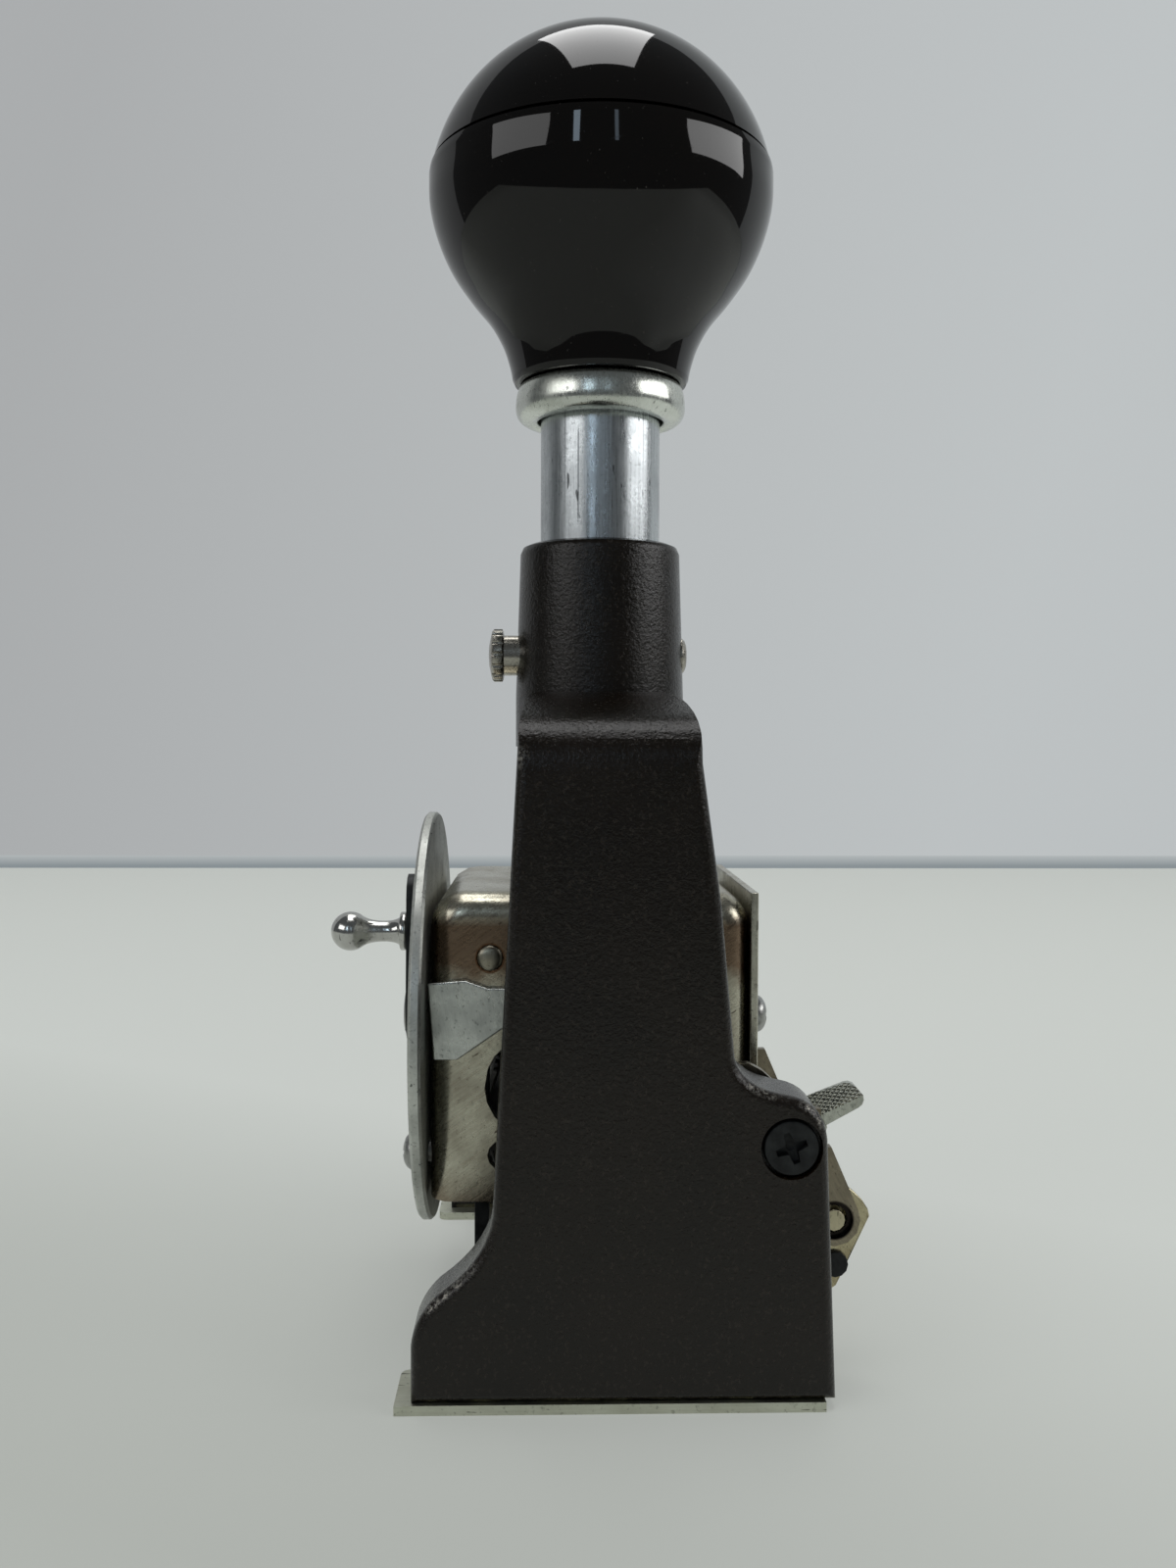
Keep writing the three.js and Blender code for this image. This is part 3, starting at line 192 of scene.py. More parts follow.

# Painted shade: a thin band stands along the table's back edge, darker at the bottom.
edge_shade_low = 0.001
edge_shade_top = 0.006
edge_shade_band = stage_material(
    "table_edge_shade_band", lit=0.8, direction=(0, 0, 1), low=edge_shade_low, high=edge_shade_top,
    low_colour=linear(142, 150, 154), high_colour=linear(184, 189, 190))
table_edge = new_object("table_back_edge", flat_sheet([
    (table_back, -table_side, 0), (table_back, table_side, 0),
    (table_back, table_side, edge_shade_top), (table_back, -table_side, edge_shade_top)]), edge_shade_band)

wall_x = -0.62
wall_side = 1.6
wall_height = 1.4
# Painted light: the wall grows lighter toward the right and lower down.
wall_painted_light = stage_material(
    "wall_painted_light", lit=0.8, direction=(0, 1, -0.25), low=-0.36, high=0.22,
    low_colour=linear(176, 178, 179), high_colour=linear(196, 200, 201))
wall = new_object("wall", flat_sheet([
    (wall_x, -wall_side, -wall_height), (wall_x, wall_side, -wall_height),
    (wall_x, wall_side, wall_height), (wall_x, -wall_side, wall_height)]), wall_painted_light)

# The room's even light, stronger for what bounces, and its grey where the camera looks past the wall.
room_fill = 0.16
room_bounce = 0.5
world = bpy.data.worlds.new("room")
bpy.context.scene.world = world
world.use_nodes = True
world.node_tree.nodes.clear()
room = Value(world.node_tree)
room_strength = room.node("LightPath", {}, {}, "Is Diffuse Ray") * room_bounce + room_fill
room_light = room.node("Background", {}, {"Color": (*linear(196, 202, 206), 1), "Strength": room_strength})
room_seen = room.node("Background", {}, {"Color": (*linear(186, 190, 191), 1), "Strength": 1.0})
room_camera = room.node("LightPath", {}, {}, "Is Camera Ray")
room_mixed = room.node("MixShader", {}, {0: room_camera, 1: room_light, 2: room_seen})
room_output = world.node_tree.nodes.new("ShaderNodeOutputWorld")
world.node_tree.links.new(room_mixed.socket, room_output.inputs["Surface"])

# Each panel: place in metres, width, height, power and colour. The narrow ones are far windows of the room.
target = Vector((0, AXIS_Y * MM, 0.12))
daylight = (1.0, 1.0, 1.0)
blue_light = (0.68, 0.84, 1.0)
for name, place, width, height, power, colour in (
    ("window_left", (0.348, -0.488, 0.309), 0.43, 0.22, 0.62, daylight),
    ("window_right", (0.13, 0.586, 0.309), 0.5, 0.21, 1.2, daylight),
    ("window_top", (-0.11, 0.0, 0.92), 0.4, 0.68, 3.3, daylight),
    ("slit_left", (0.85, -0.26, 0.4), 0.06, 0.32, 0.3, blue_light),
    ("slit_right", (0.88, 0.12, 0.4), 0.035, 0.32, 0.07, blue_light),
):
    lamp = bpy.data.lights.new(name, "AREA")
    lamp.shape = "RECTANGLE"
    lamp.size = width
    lamp.size_y = height
    lamp.energy = power
    lamp.color = colour
    panel = bpy.data.objects.new(name, lamp)
    panel.location = place
    panel.rotation_euler = (target - Vector(place)).to_track_quat("-Z", "Y").to_euler()
    bpy.context.scene.collection.objects.link(panel)

camera_place = Vector((158.2, AXIS_Y - 5.4, 63.1)) * MM
camera_turn = math.radians(1.5)
camera_pitch = math.radians(2.0)
camera_roll = math.radians(0.17)
camera_lens = 32.18
camera_sensor = 36
forward = Vector((
    -math.cos(camera_turn) * math.cos(camera_pitch),
    math.sin(camera_turn) * math.cos(camera_pitch),
    -math.sin(camera_pitch),
))
roll = Matrix.Rotation(camera_roll, 3, "Z").to_quaternion()
camera_data = bpy.data.cameras.new("camera")
camera_data.lens = camera_lens
camera_data.sensor_width = camera_sensor
camera_data.clip_start = 0.01
camera_data.clip_end = 10
camera = bpy.data.objects.new("camera", camera_data)
camera.rotation_mode = "QUATERNION"
camera.location = camera_place
camera.rotation_quaternion = forward.to_track_quat("-Z", "Y") @ roll
bpy.context.scene.collection.objects.link(camera)
bpy.context.scene.camera = camera
bpy.context.scene.view_settings.view_transform = "Standard"

# Base plate: strip steel with a dull zinc coat, stamped out in one piece and open in the middle for the
# type. Four countersunk screws hold it under the feet of the casting.

record = frame["record"]
body_of_node = {node: body for body, nodes in record["behaviour"]["bodies"].items() for node in nodes}
SIGNS = {"left": -1, "right": 1}
FLAT_TURN = 1.2


def surface(start, colour, roughness, metallic, bump=None, depth=0.0, specular=0.5):
    """The surface shader of one finish. Bump is a height from 0 to 1 and depth is in metres."""
    inputs = {"Roughness": roughness, "Metallic": metallic, "Base Color": colour,
              "Specular IOR Level": specular}
    if bump is not None:
        inputs["Normal"] = start.node("Bump", {}, {"Height": bump, "Distance": depth, "Strength": 1.0})
    return start.node("BsdfPrincipled", {}, inputs)


def streaked(start, across, along, axis="Z", turn=0.0):
    """Places for long marks along an axis, turned about X: fine across it and drawn out along it."""
    stretch = [1 / across] * 3
    stretch["XYZ".index(axis)] = 1 / along
    return start.node("Mapping", {"vector_type": "TEXTURE"}, {
        "Vector": at_object(start), "Rotation": (math.radians(turn), 0, 0), "Scale": stretch})


def grain(start, vector, scale, detail=4.0, rough=0.55, distortion=0.0):
    return start.node("TexNoise", {}, {
        "Vector": vector, "Scale": scale, "Detail": detail, "Roughness": rough, "Distortion": distortion})


def metal(name, colour, tarnish, roughness, across=3600.0, along=120.0, axis="Z", turn=0.0, spots=0.5,
          contrast=0.4, bump_depth=0.000006, stain_and_shade=None, pebble=3800.0):
    """Bare or plated metal: stained in patches, lined along an axis and dulled unevenly.

    The stain and shade function takes the start value and gives a further share of tarnish colour, for
    stains and for painted shade. Pebble is how many dents of the skin stand on a metre.
    """
    material, start = new_material(name)
    place = at_object(start)
    patches = between(grain(start, place, 210.0, 6.0, 0.65), 0.4, 0.68)
    specks = between(grain(start, place, 2300.0, 3.0, 0.6), 0.6, 0.7)
    nicks = between(grain(start, streaked(start, 1900.0, 420.0, axis, turn), 1.0, 2.0, 0.5), 0.69, 0.73)
    lines = grain(start, streaked(start, across, along, axis, turn), 1.0, 4.0, 0.75)
    shade = between(lines, 0.32, 0.68)
    amount = patches * spots
    if stain_and_shade is not None:
        amount = larger(amount, stain_and_shade(start))
    toned = blended(amount, colour, tarnish)
    dark = tuple(channel * 0.2 for channel in tarnish)
    deep = tuple(channel * 0.5 for channel in tarnish)
    lined = blended((1 - shade) * contrast, toned, deep)
    speckled = blended(larger(specks * spots, nicks * 0.8), lined, dark)
    rough = roughness + patches * 0.12 + shade * 0.1 + specks * 0.12
    height = lines * 0.5 + grain(start, place, pebble, 2.0, 0.6) * 0.8
    return show(material, surface(start, speckled, rough, 1.0, height, bump_depth))


def shift(shape, x, y, z):
    bmesh.ops.translate(shape, vec=(x, y, z), verts=shape.verts)


def resize(shape, x, y, z):
    bmesh.ops.scale(shape, vec=(x, y, z), verts=shape.verts)


def copied(node):
    """The CAD node's own shape in millimetres about the plunger axis, its loose triangles merged."""
    shape = bmesh.new()
    shape.from_mesh(frame["nodes"][node].data)
    resize(shape, 1 / MM, 1 / MM, 1 / MM)
    shift(shape, 0, -AXIS_Y, 0)
    bmesh.ops.remove_doubles(shape, verts=shape.verts, dist=0.0015)
    return shape


def flat_angle(edge):
    return edge.calc_face_angle(0.0)


def softened(shape, width, segments=2, sharp=33):
    """Joins faces that lie flat together, then rounds every edge that turns more than sharp degrees."""
    flat = math.radians(FLAT_TURN)
    bmesh.ops.dissolve_limit(shape, angle_limit=flat, verts=shape.verts, edges=shape.edges)
    edges = [edge for edge in shape.edges if edge.is_manifold and flat_angle(edge) > math.radians(sharp)]
    bmesh.ops.bevel(shape, geom=edges, offset=width, offset_type="OFFSET", segments=segments, profile=0.5,
                    affect="EDGES", clamp_overlap=True, material=-1, loop_slide=True)
    return shape


def set_down(shape):
    """Takes a finished shape from the plunger axis to its place in metres."""
    shift(shape, 0, AXIS_Y, 0)
    resize(shape, MM, MM, MM)


def piece(name, shape, material, node, crease=50):
    """A finished shape in place of its CAD node, on that node's body, smooth but for its creases."""
    set_down(shape)
    for face in shape.faces:
        face.smooth = True
    for edge in shape.edges:
        edge.smooth = not (edge.is_manifold and flat_angle(edge) > math.radians(crease))
    made = new_object(name, shape, material)
    weighted = made.modifiers.new("even_shading", "WEIGHTED_NORMAL")
    weighted.keep_sharp = True
    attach(made, body_of_node[node])
    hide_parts(node)
    return made


def carried(node, material):
    """A CAD node whose own shape is right keeps it and takes the finish."""
    for place in frame["nodes"][node].material_slots:
        place.material = material


zinc_strip = metal("zinc_strip", linear(214, 216, 200), linear(168, 168, 146), 0.34, axis="Y", spots=0.35,
                   contrast=0.25)
piece("base_plate_strip", softened(copied("base_plate"), 0.12), zinc_strip, node="base_plate")
bright_steel = metal("bright_steel", linear(182, 184, 182), linear(120, 114, 104), 0.24, along=900.0,
                     contrast=0.35)
for end in ("front", "rear"):
    for side in SIGNS:
        carried(f"base_screw_{end}_{side}", bright_steel)

# Casting: a zinc arch of two channel legs under a bridge, with the barrel for the plunger on top. It is
# painted with a dark brown enamel that dries in fine bumps, and the paint is rubbed through on its edges.

LEG_HALF = 30.15
LEG_INNER = 23.15
FOOT = 0.95
BRIDGE_TOP = 67.5
BRIDGE_BOTTOM = 60.3
BARREL_RADIUS = 9.4
TUBE_FIT = 6.95
PIVOT_Y = 17.0
PIVOT_Z = 24.8
LOCK_Z = 72.0
OVERRUN = 2.0
curve_steps = 9


def curve(start, middle, end, steps=curve_steps):
    """Points of a smooth bend after start and up to end, drawn toward middle."""
    points = []
    for step in range(1, steps + 1):
        t = step / steps
        points.append(tuple(
            (1 - t) ** 2 * a + 2 * t * (1 - t) * b + t ** 2 * c for a, b, c in zip(start, middle, end)))
    return points


def rectangle(left, bottom, right, top):
    return [(left, bottom), (right, bottom), (right, top), (left, top)]


def outward(sign, near, far):
    """From near to far on one side of the middle, as the lower and the higher place."""
    return sorted((sign * near, sign * far))


def slab(outline, normal_axis, low, high):
    """An outline of points in the other two axes, drawn out along normal_axis from low to high."""
    shape = bmesh.new()
    corners = []
    for a, b in outline:
        at = {"X": (low, a, b), "Y": (a, low, b), "Z": (a, b, low)}[normal_axis]
        corners.append(shape.verts.new(at))
    face = shape.faces.new(corners)
    drawn = bmesh.ops.extrude_face_region(shape, geom=[face])
    travel = {"X": (high - low, 0, 0), "Y": (0, high - low, 0), "Z": (0, 0, high - low)}[normal_axis]
    moved = [part for part in drawn["geom"] if isinstance(part, bmesh.types.BMVert)]
    bmesh.ops.translate(shape, vec=travel, verts=moved)
    bmesh.ops.recalc_face_normals(shape, faces=shape.faces)
    return shape


def rotate(shape, degrees, axis):
    bmesh.ops.rotate(shape, matrix=Matrix.Rotation(math.radians(degrees), 3, axis), verts=shape.verts)


def round_bar(radius, low, high, axis="Z", at=(0, 0), sides=48):
    """A round bar or drill along an axis; at gives its place in the other two."""
    shape = bmesh.new()
    bmesh.ops.create_cone(shape, cap_ends=True, cap_tris=False, segments=sides, radius1=radius,
                          radius2=radius, depth=high - low)
    shift(shape, 0, 0, (high + low) / 2)
    if axis == "X":
        rotate(shape, 90, "Y")
        shift(shape, 0, *at)
    elif axis == "Y":
        rotate(shape, -90, "X")
        shift(shape, at[0], 0, at[1])
    else:
        shift(shape, *at, 0)
    return shape


def lathed(profile, steps=96, axis="Z", height=0.0):
    """A turned solid from (radius, place) pairs that start and end on the axis, which lies at a height."""
    shape = bmesh.new()
    points = [shape.verts.new((radius, 0, place)) for radius, place in profile]
    line = [shape.edges.new(pair) for pair in zip(points, points[1:])]
    bmesh.ops.spin(shape, geom=points + line, cent=(0, 0, 0), axis=(0, 0, 1), dvec=(0, 0, 0),
                   angle=math.tau, steps=steps, use_merge=True)
    bmesh.ops.remove_doubles(shape, verts=shape.verts, dist=0.0005)
    bmesh.ops.recalc_face_normals(shape, faces=shape.faces)
    if axis == "X":
        rotate(shape, 90, "Y")
    elif axis == "-Y":
        rotate(shape, 90, "X")
    shift(shape, 0, 0, height)
    return shape


def rank(part):
    """A number by place alone, so that sorted cuts come out in one order on each run."""
    corners = [part] if isinstance(part, bmesh.types.BMVert) else part.verts
    return sum(round(corner.co.dot((1.0, 0.7316, 0.3957)), 4) for corner in corners) / len(corners)


def carved(base, *changes):
    """The base after each change, a pair of UNION, DIFFERENCE or INTERSECT and a shape."""
    held = new_object("carving", base, None)
    tools = []
    for operation, shape in changes:
        tool = new_object("tool", shape, None)
        tools.append(tool)
        modifier = held.modifiers.new("cut", "BOOLEAN")
        modifier.operation = operation
        modifier.solver = "EXACT"
        modifier.object = tool
    bpy.context.view_layer.update()
    made = bmesh.new()
    made.from_object(held, bpy.context.evaluated_depsgraph_get())
    for thing in [held, *tools]:
        bpy.data.objects.remove(thing)
    for parts in (made.verts, made.edges, made.faces):
        parts.sort(key=rank)
        parts.index_update()
    bmesh.ops.remove_doubles(made, verts=made.verts, dist=0.002)
    return made


def cut(base, *tools):
    return carved(base, *[("DIFFERENCE", tool) for tool in tools])


# The leg from its front foot over the toe, up to the crown and down behind over the lobe of the pivot.
toe = (-18.4, 6.2)
toe_crest = (-15.9, 11.0)
waist = (-10.8, 18.5)
shoulder_front = (-8.6, 60.5)
crown_front = (-7.0, BRIDGE_TOP)
crown_rear = (5.6, BRIDGE_TOP)
shoulder_rear = (8.6, 60.5)
rear_belly = (10.4, 47.5)
rear_waist = (11.7, 33.2)
lobe_crest = (16.8, 29.6)
lobe_side = (20.5, 24.6)
heel = (21.4, FOOT)
leg_outline = [
    (toe[0], FOOT),
    toe, *curve(toe, (-18.1, 9.0), toe_crest),
    *curve(toe_crest, (-11.2, 14.3), waist),
    shoulder_front, *curve(shoulder_front, (-8.4, BRIDGE_TOP), crown_front),
    crown_rear, *curve(crown_rear, (8.6, BRIDGE_TOP), shoulder_rear),
    rear_belly, rear_waist,
    *curve(rear_waist, (12.4, 30.3), lobe_crest),
    *curve(lobe_crest, (20.5, 28.9), lobe_side),
    heel,
]

# The arch as the dial faces: the opening between the legs, and the shoulders that fall off to the sides.
inner_round = 4
inner_corner = BRIDGE_BOTTOM - inner_round
inner_side = LEG_INNER - inner_round
arch_side = LEG_HALF + 0.004
shoulder = (arch_side, 59.6)
shoulder_top = (arch_side - 3.8, 65.2)
crown_side = (arch_side - 14, BRIDGE_TOP)
right_shoulder = [shoulder, *curve(shoulder, (arch_side, 63.8), shoulder_top),
                  *curve(shoulder_top, (arch_side - 8.5, 66.95), crown_side)]
left_shoulder = [(-x, z) for x, z in reversed(right_shoulder)]
arch_outline = [
    (-arch_side, FOOT), (-LEG_INNER, FOOT),
    (-LEG_INNER, inner_corner),
    *curve((-LEG_INNER, inner_corner), (-LEG_INNER, BRIDGE_BOTTOM), (-inner_side, BRIDGE_BOTTOM)),
    (inner_side, BRIDGE_BOTTOM),
    *curve((inner_side, BRIDGE_BOTTOM), (LEG_INNER, BRIDGE_BOTTOM), (LEG_INNER, inner_corner)),
    (LEG_INNER, FOOT), (arch_side, FOOT),
    *right_shoulder, *left_shoulder,
]
arch_front = -24
arch_rear = 26
barrel_foot = 61.8
barrel_top = 84.2
barrel = lathed([(0, barrel_foot), (BARREL_RADIUS, barrel_foot), (BARREL_RADIUS, BRIDGE_TOP), (8.9, 83.2),
                 (8.6, 83.9), (7.9, barrel_top), (0, barrel_top)])

side_round = 1.1
legs = slab(leg_outline, "X", -LEG_HALF, LEG_HALF)
side_edges = [edge for edge in legs.edges if abs(edge.verts[0].co.x - edge.verts[1].co.x) < 1]
bmesh.ops.bevel(legs, geom=side_edges, offset=side_round, offset_type="OFFSET", segments=5, profile=0.5,
                affect="EDGES", clamp_overlap=False, material=-1)
casting = carved(slab(arch_outline, "Y", arch_front, arch_rear), ("INTERSECT", legs), ("UNION", barrel))

# Bore, pin holes, and in each leg the channel, the pocket beside it, the hollow toe and the screw's seat.
bore_reach = (50, 90)
pin_hole_front = 2.55
pin_hole_rear = 2.35
pin_hole_reach = 14
channel_floor = LEG_INNER + 4.35
channel = rectangle(-5.6, 5, 5.6, 57)
pocket = rectangle(-8.6, 3.4, 14.4, 17.5)
toe_hollow = rectangle(arch_front, -1, -8.6, 18.5)
toe_wall = 5.6
seat_radius = 2.9
seat_depth = 1.5
shank_radius = 2.2
inside = LEG_INNER - OVERRUN
openings = [
    round_bar(TUBE_FIT, *bore_reach, sides=64),
    round_bar(pin_hole_front, -pin_hole_reach, 0, "Y", (0, LOCK_Z), 32),
    round_bar(pin_hole_rear, 0, pin_hole_reach, "Y", (0, LOCK_Z), 32),
]
pivot = (PIVOT_Y, PIVOT_Z)
for sign in SIGNS.values():
    openings.append(slab(channel, "X", *outward(sign, inside, channel_floor)))
    openings.append(slab(pocket, "X", *outward(sign, inside, channel_floor)))
    openings.append(slab(toe_hollow, "X", *outward(sign, inside, LEG_HALF - toe_wall)))
    seat_reach = outward(sign, LEG_HALF - seat_depth, LEG_HALF + OVERRUN)
    openings.append(round_bar(seat_radius, *seat_reach, "X", pivot, 64))
    openings.append(round_bar(shank_radius, *outward(sign, inside, LEG_HALF), "X", pivot, 32))
casting = cut(casting, *openings)

# Side of the machine, place about the plunger axis, and reach of each worn spot.
worn_spots = (
    (1, -13.4, 13.7, 0.4), (1, -14.5, 12.6, 0.5), (1, -15.6, 11.4, 0.6), (1, -16.5, 10.3, 0.4),
    (1, 13.4, 30.2, 0.2), (1, 14.6, 29.8, 0.2), (1, 18.4, 28.3, 0.3), (1, 19.4, 27.2, 0.2),
    (1, -8.5, 61.0, 0.3), (-1, -14.6, 12.5, 0.7), (-1, 18.2, 28.4, 0.5),
)
worn_fade = 0.9
worn_side = 29.8
round_low = 29.9
round_high = 30.1
scuff_low = FOOT + 0.35
scuff_high = FOOT + 0.55


def place_on(start, axis):
    return start.node("SeparateXYZ", {}, {0: at_object(start)}, axis)


def distance(start, centre, axes=(1, 1, 1)):
    """Metres to a point, counted along the axes that have a 1."""
    counted = start.node("VectorMath", {"operation": "MULTIPLY"}, {0: at_object(start), 1: axes})
    return start.node("VectorMath", {"operation": "DISTANCE"}, {0: counted, 1: centre}, "Value")


def enamel_paint():
    """Brown paint of fine bumps, bitten through at the worn spots and scuffed to olive along the foot."""
    material, start = new_material("brown_enamel")
    place = at_object(start)
    bumps = grain(start, place, 2300.0, 3.0, 0.7)
    broad = between(grain(start, place, 120.0, 3.0, 0.5), 0.35, 0.7)
    flecks = between(grain(start, place, 2600.0, 2.0, 0.5), 0.58, 0.68)
    bitten = between(grain(start, place, 2600.0, 4.0, 0.7), 0.48, 0.56)
    zone = None
    for sign, y, z, reach in worn_spots:
        away = distance(start, (sign * worn_side * MM, (y + AXIS_Y) * MM, z * MM))
        spot = between(away, (reach + worn_fade) * MM, reach * MM)
        zone = spot if zone is None else larger(zone, spot)
    across = place_on(start, "X")
    rounding = between(across.math("ABSOLUTE", across), round_high * MM, round_low * MM)
    bare = bitten * zone * rounding
    scuffed = between(place_on(start, "Z"), scuff_high * MM, scuff_low * MM)
    scuffed = scuffed * between(grain(start, place, 420.0, 5.0, 0.7), 0.45, 0.6) * 0.5
    paint = blended(broad, linear(13, 8, 3), linear(20, 13, 6))
    flecked = blended(flecks * 0.35, paint, linear(52, 45, 38))
    rubbed = blended(scuffed, flecked, linear(104, 100, 72))
    colour = blended(bare, rubbed, linear(132, 129, 122))
    rough = 0.19 + flecks * 0.08 + bare * 0.06 + broad * 0.04
    return show(material, surface(start, colour, rough, bare * 0.9, bumps, 0.00008, specular=0.37))


piece("frame_casting", softened(casting, 0.35, 2, 30), enamel_paint(), node="frame")

# Arm screws: black oxide steel with a flat head and a cross slot. Each is sunk in a round seat in its leg,
# and its plain shank is the pivot of one ink arm.


def oxide_steel(name):
    material, start = new_material(name)
    place = at_object(start)
    patches = between(grain(start, place, 700.0, 5.0, 0.6), 0.4, 0.7)
    colour = blended(patches, linear(24, 25, 26), linear(46, 48, 48))
    height = grain(start, place, 3400.0, 3.0, 0.6)
    return show(material, surface(start, colour, 0.38 + patches * 0.15, 0.6, height, 0.00001))


black_oxide = oxide_steel("black_oxide")
screw_face = LEG_HALF - 0.2
arm_screw_profile = [
    (0, 20.7), (1.9, 20.7), (1.9, screw_face - 1.3), (2.4, screw_face - 1.3), (2.6, screw_face - 1.1),
    (2.6, screw_face - 0.22), (2.5, screw_face - 0.06), (2.3, screw_face), (0, screw_face)]
centre_profile = [(0, screw_face - 1.15), (0.45, screw_face - 1.0), (0.82, screw_face + 0.5),
                  (0, screw_face + 0.5)]
cross_turn = 20
cross_depth = 0.95
cross_outline = [(-1.5, -0.3), (-0.5, -0.46), (0.5, -0.46), (1.5, -0.3),
                 (1.5, 0.3), (0.5, 0.46), (-0.5, 0.46), (-1.5, 0.3)]
for side, sign in SIGNS.items():
    screw = lathed(arm_screw_profile, 64, "X")
    centre = lathed(centre_profile, 24, "X")
    if sign < 0:
        rotate(screw, 180, "Z")
        rotate(centre, 180, "Z")
    recess = []
    for degrees in (cross_turn, cross_turn + 90):
        slot = slab(cross_outline, "X", *outward(sign, screw_face - cross_depth, screw_face + 1))
        rotate(slot, degrees, "X")
        recess.append(slot)
    screw = cut(screw, *recess, centre)
    shift(screw, 0, PIVOT_Y, PIVOT_Z)
    piece(f"arm_screw_black_{side}", softened(screw, 0.04, 2, 50), black_oxide, node=f"arm_screw_{side}",
          crease=35)

# Plunger: a drawn aluminium tube, satin and scored along its length where it has slid through the barrel.
# The return spring stands in it on a washer that the lock pin carries.

score_x = 6.07
score_places = (-2.92, -2.55)
score_half = 0.13
score_core = 0.04


def drawn_marks(start):
    """Dark grime in the score marks that run down the tube below the collar, two of them deep."""
    lines = grain(start, streaked(start, 1500.0, 14.0), 1.0, 2.0, 0.5)
    marks = between(lines, 0.62, 0.7) * 0.5
    height = place_on(start, "Z")
    ragged = height + grain(start, at_object(start), 700.0) * 0.004
    reach = between(ragged, 0.0872, 0.0886) * (1 - between(height, 0.0955, 0.0968))
    for y in score_places:
        away = distance(start, (score_x * MM, (y + AXIS_Y) * MM, 0), (1, 1, 0))
        marks = larger(marks, between(away, score_half * MM, score_core * MM) * reach)
    return marks


tube_aluminium = metal("tube_aluminium", linear(214, 219, 221), linear(84, 88, 92), 0.2, across=4600.0,
                       along=90.0, spots=0.22, bump_depth=0.000012, stain_and_shade=drawn_marks, pebble=2600.0)
piece("plunger_sleeve", softened(copied("plunger_tube"), 0.12, 2, 50), tube_aluminium, node="plunger_tube",
      crease=40)
carried("spring_seat", bright_steel)
spring = piece("return_spring_coil", copied("return_spring"), bright_steel, node="return_spring")
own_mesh(spring)

# Lock pin: a turned nickel pin across the barrel, with a scalloped head in front to pull it by and a
# domed end behind.

nickel_pin = metal("nickel_pin", linear(190, 186, 176), linear(96, 88, 74), 0.16, along=900.0, axis="X",
                   spots=0.4, contrast=0.3)
pin_radius = 2.05
pin_neck = 2.25
pin_back = BARREL_RADIUS + 1.4
pin_front = pin_back + 1.3
pin = lathed([
    (0, -(BARREL_RADIUS + 0.35)), (1.3, -(BARREL_RADIUS + 0.3)), (1.75, -(BARREL_RADIUS + 0.12)),
    (pin_radius, -(BARREL_RADIUS - 0.2)), (pin_radius, 7.4), (pin_neck, 7.4), (pin_neck, pin_back - 0.1),
    (2.7, pin_back), (2.95, pin_back + 0.12), (2.95, pin_front - 0.3), (2.75, pin_front - 0.08),
    (2.3, pin_front + 0.05), (1.2, pin_front + 0.28), (0, pin_front + 0.35)], 84, "-Y", LOCK_Z)
scallop_count = 14
scallop_ring = 3.02
scallop_radius = 0.3
scallops = []
for step in range(scallop_count):
    angle = math.tau * step / scallop_count
    centre = (scallop_ring * math.cos(angle), LOCK_Z + scallop_ring * math.sin(angle))
    scallops.append(round_bar(scallop_radius, -pin_front - OVERRUN, -pin_back + 0.6, "Y", centre, 12))
piece("lock_pin_nickel", softened(cut(pin, *scallops), 0.05, 2, 45), nickel_pin, node="lock_pin", crease=40)

# Collar: an aluminium ring with a fat round edge, turned bright on a lathe. It is pressed on the tube
# below the knob, which seats on its upper face.

collar_aluminium = metal("collar_aluminium", linear(222, 225, 218), linear(170, 174, 160), 0.16,
                         across=2600.0, along=1400.0, spots=0.4, contrast=0.2, bump_depth=0.00001)
collar_radius = 9.45
collar_low = 97.8
collar_high = 101.7
collar_seat = collar_high + 0.2
collar_face = 7.2
collar_belly = collar_low + 1.75
collar_edge = (8.85, collar_seat)
collar_profile = [
    (TUBE_FIT, collar_low + 0.3), (collar_face, collar_low),
    *curve((7.7, collar_low), (collar_radius, collar_low), (collar_radius, collar_belly), 12),
    *curve((collar_radius, collar_belly), (collar_radius - 0.05, collar_seat - 0.5), collar_edge, 12),
    (collar_face, collar_seat), (TUBE_FIT, collar_seat - 0.3), (TUBE_FIT, collar_low + 0.3)]
piece("collar_ring", lathed(collar_profile, 120), collar_aluminium, node="collar", crease=60)

# Knob: a bulb of dark brown plastic, moulded in two halves with a fine open seam under the domed cap, and
# polished to a deep gloss. It is pushed on the end of the tube.


def moulded_plastic():
    material, start = new_material("brown_plastic")
    place = at_object(start)
    cloud = between(grain(start, place, 60.0, 4.0, 0.5), 0.35, 0.7)
    dust = between(grain(start, place, 3400.0, 2.0, 0.5), 0.72, 0.77)
    hairlines = between(grain(start, streaked(start, 2600.0, 60.0, "Y", 15.0), 1.0, 2.0, 0.5), 0.64, 0.72)
    shade = blended(cloud, linear(7, 5, 4), linear(10, 7, 5))
    colour = blended(dust * 0.2, shade, linear(110, 104, 98))
    rough = 0.03 + cloud * 0.02 + hairlines * 0.05 + dust * 0.3
    height = grain(start, place, 90.0, 2.0, 0.5)
    return show(material, surface(start, colour, rough, 0.0, height, 0.00003, specular=0.37))


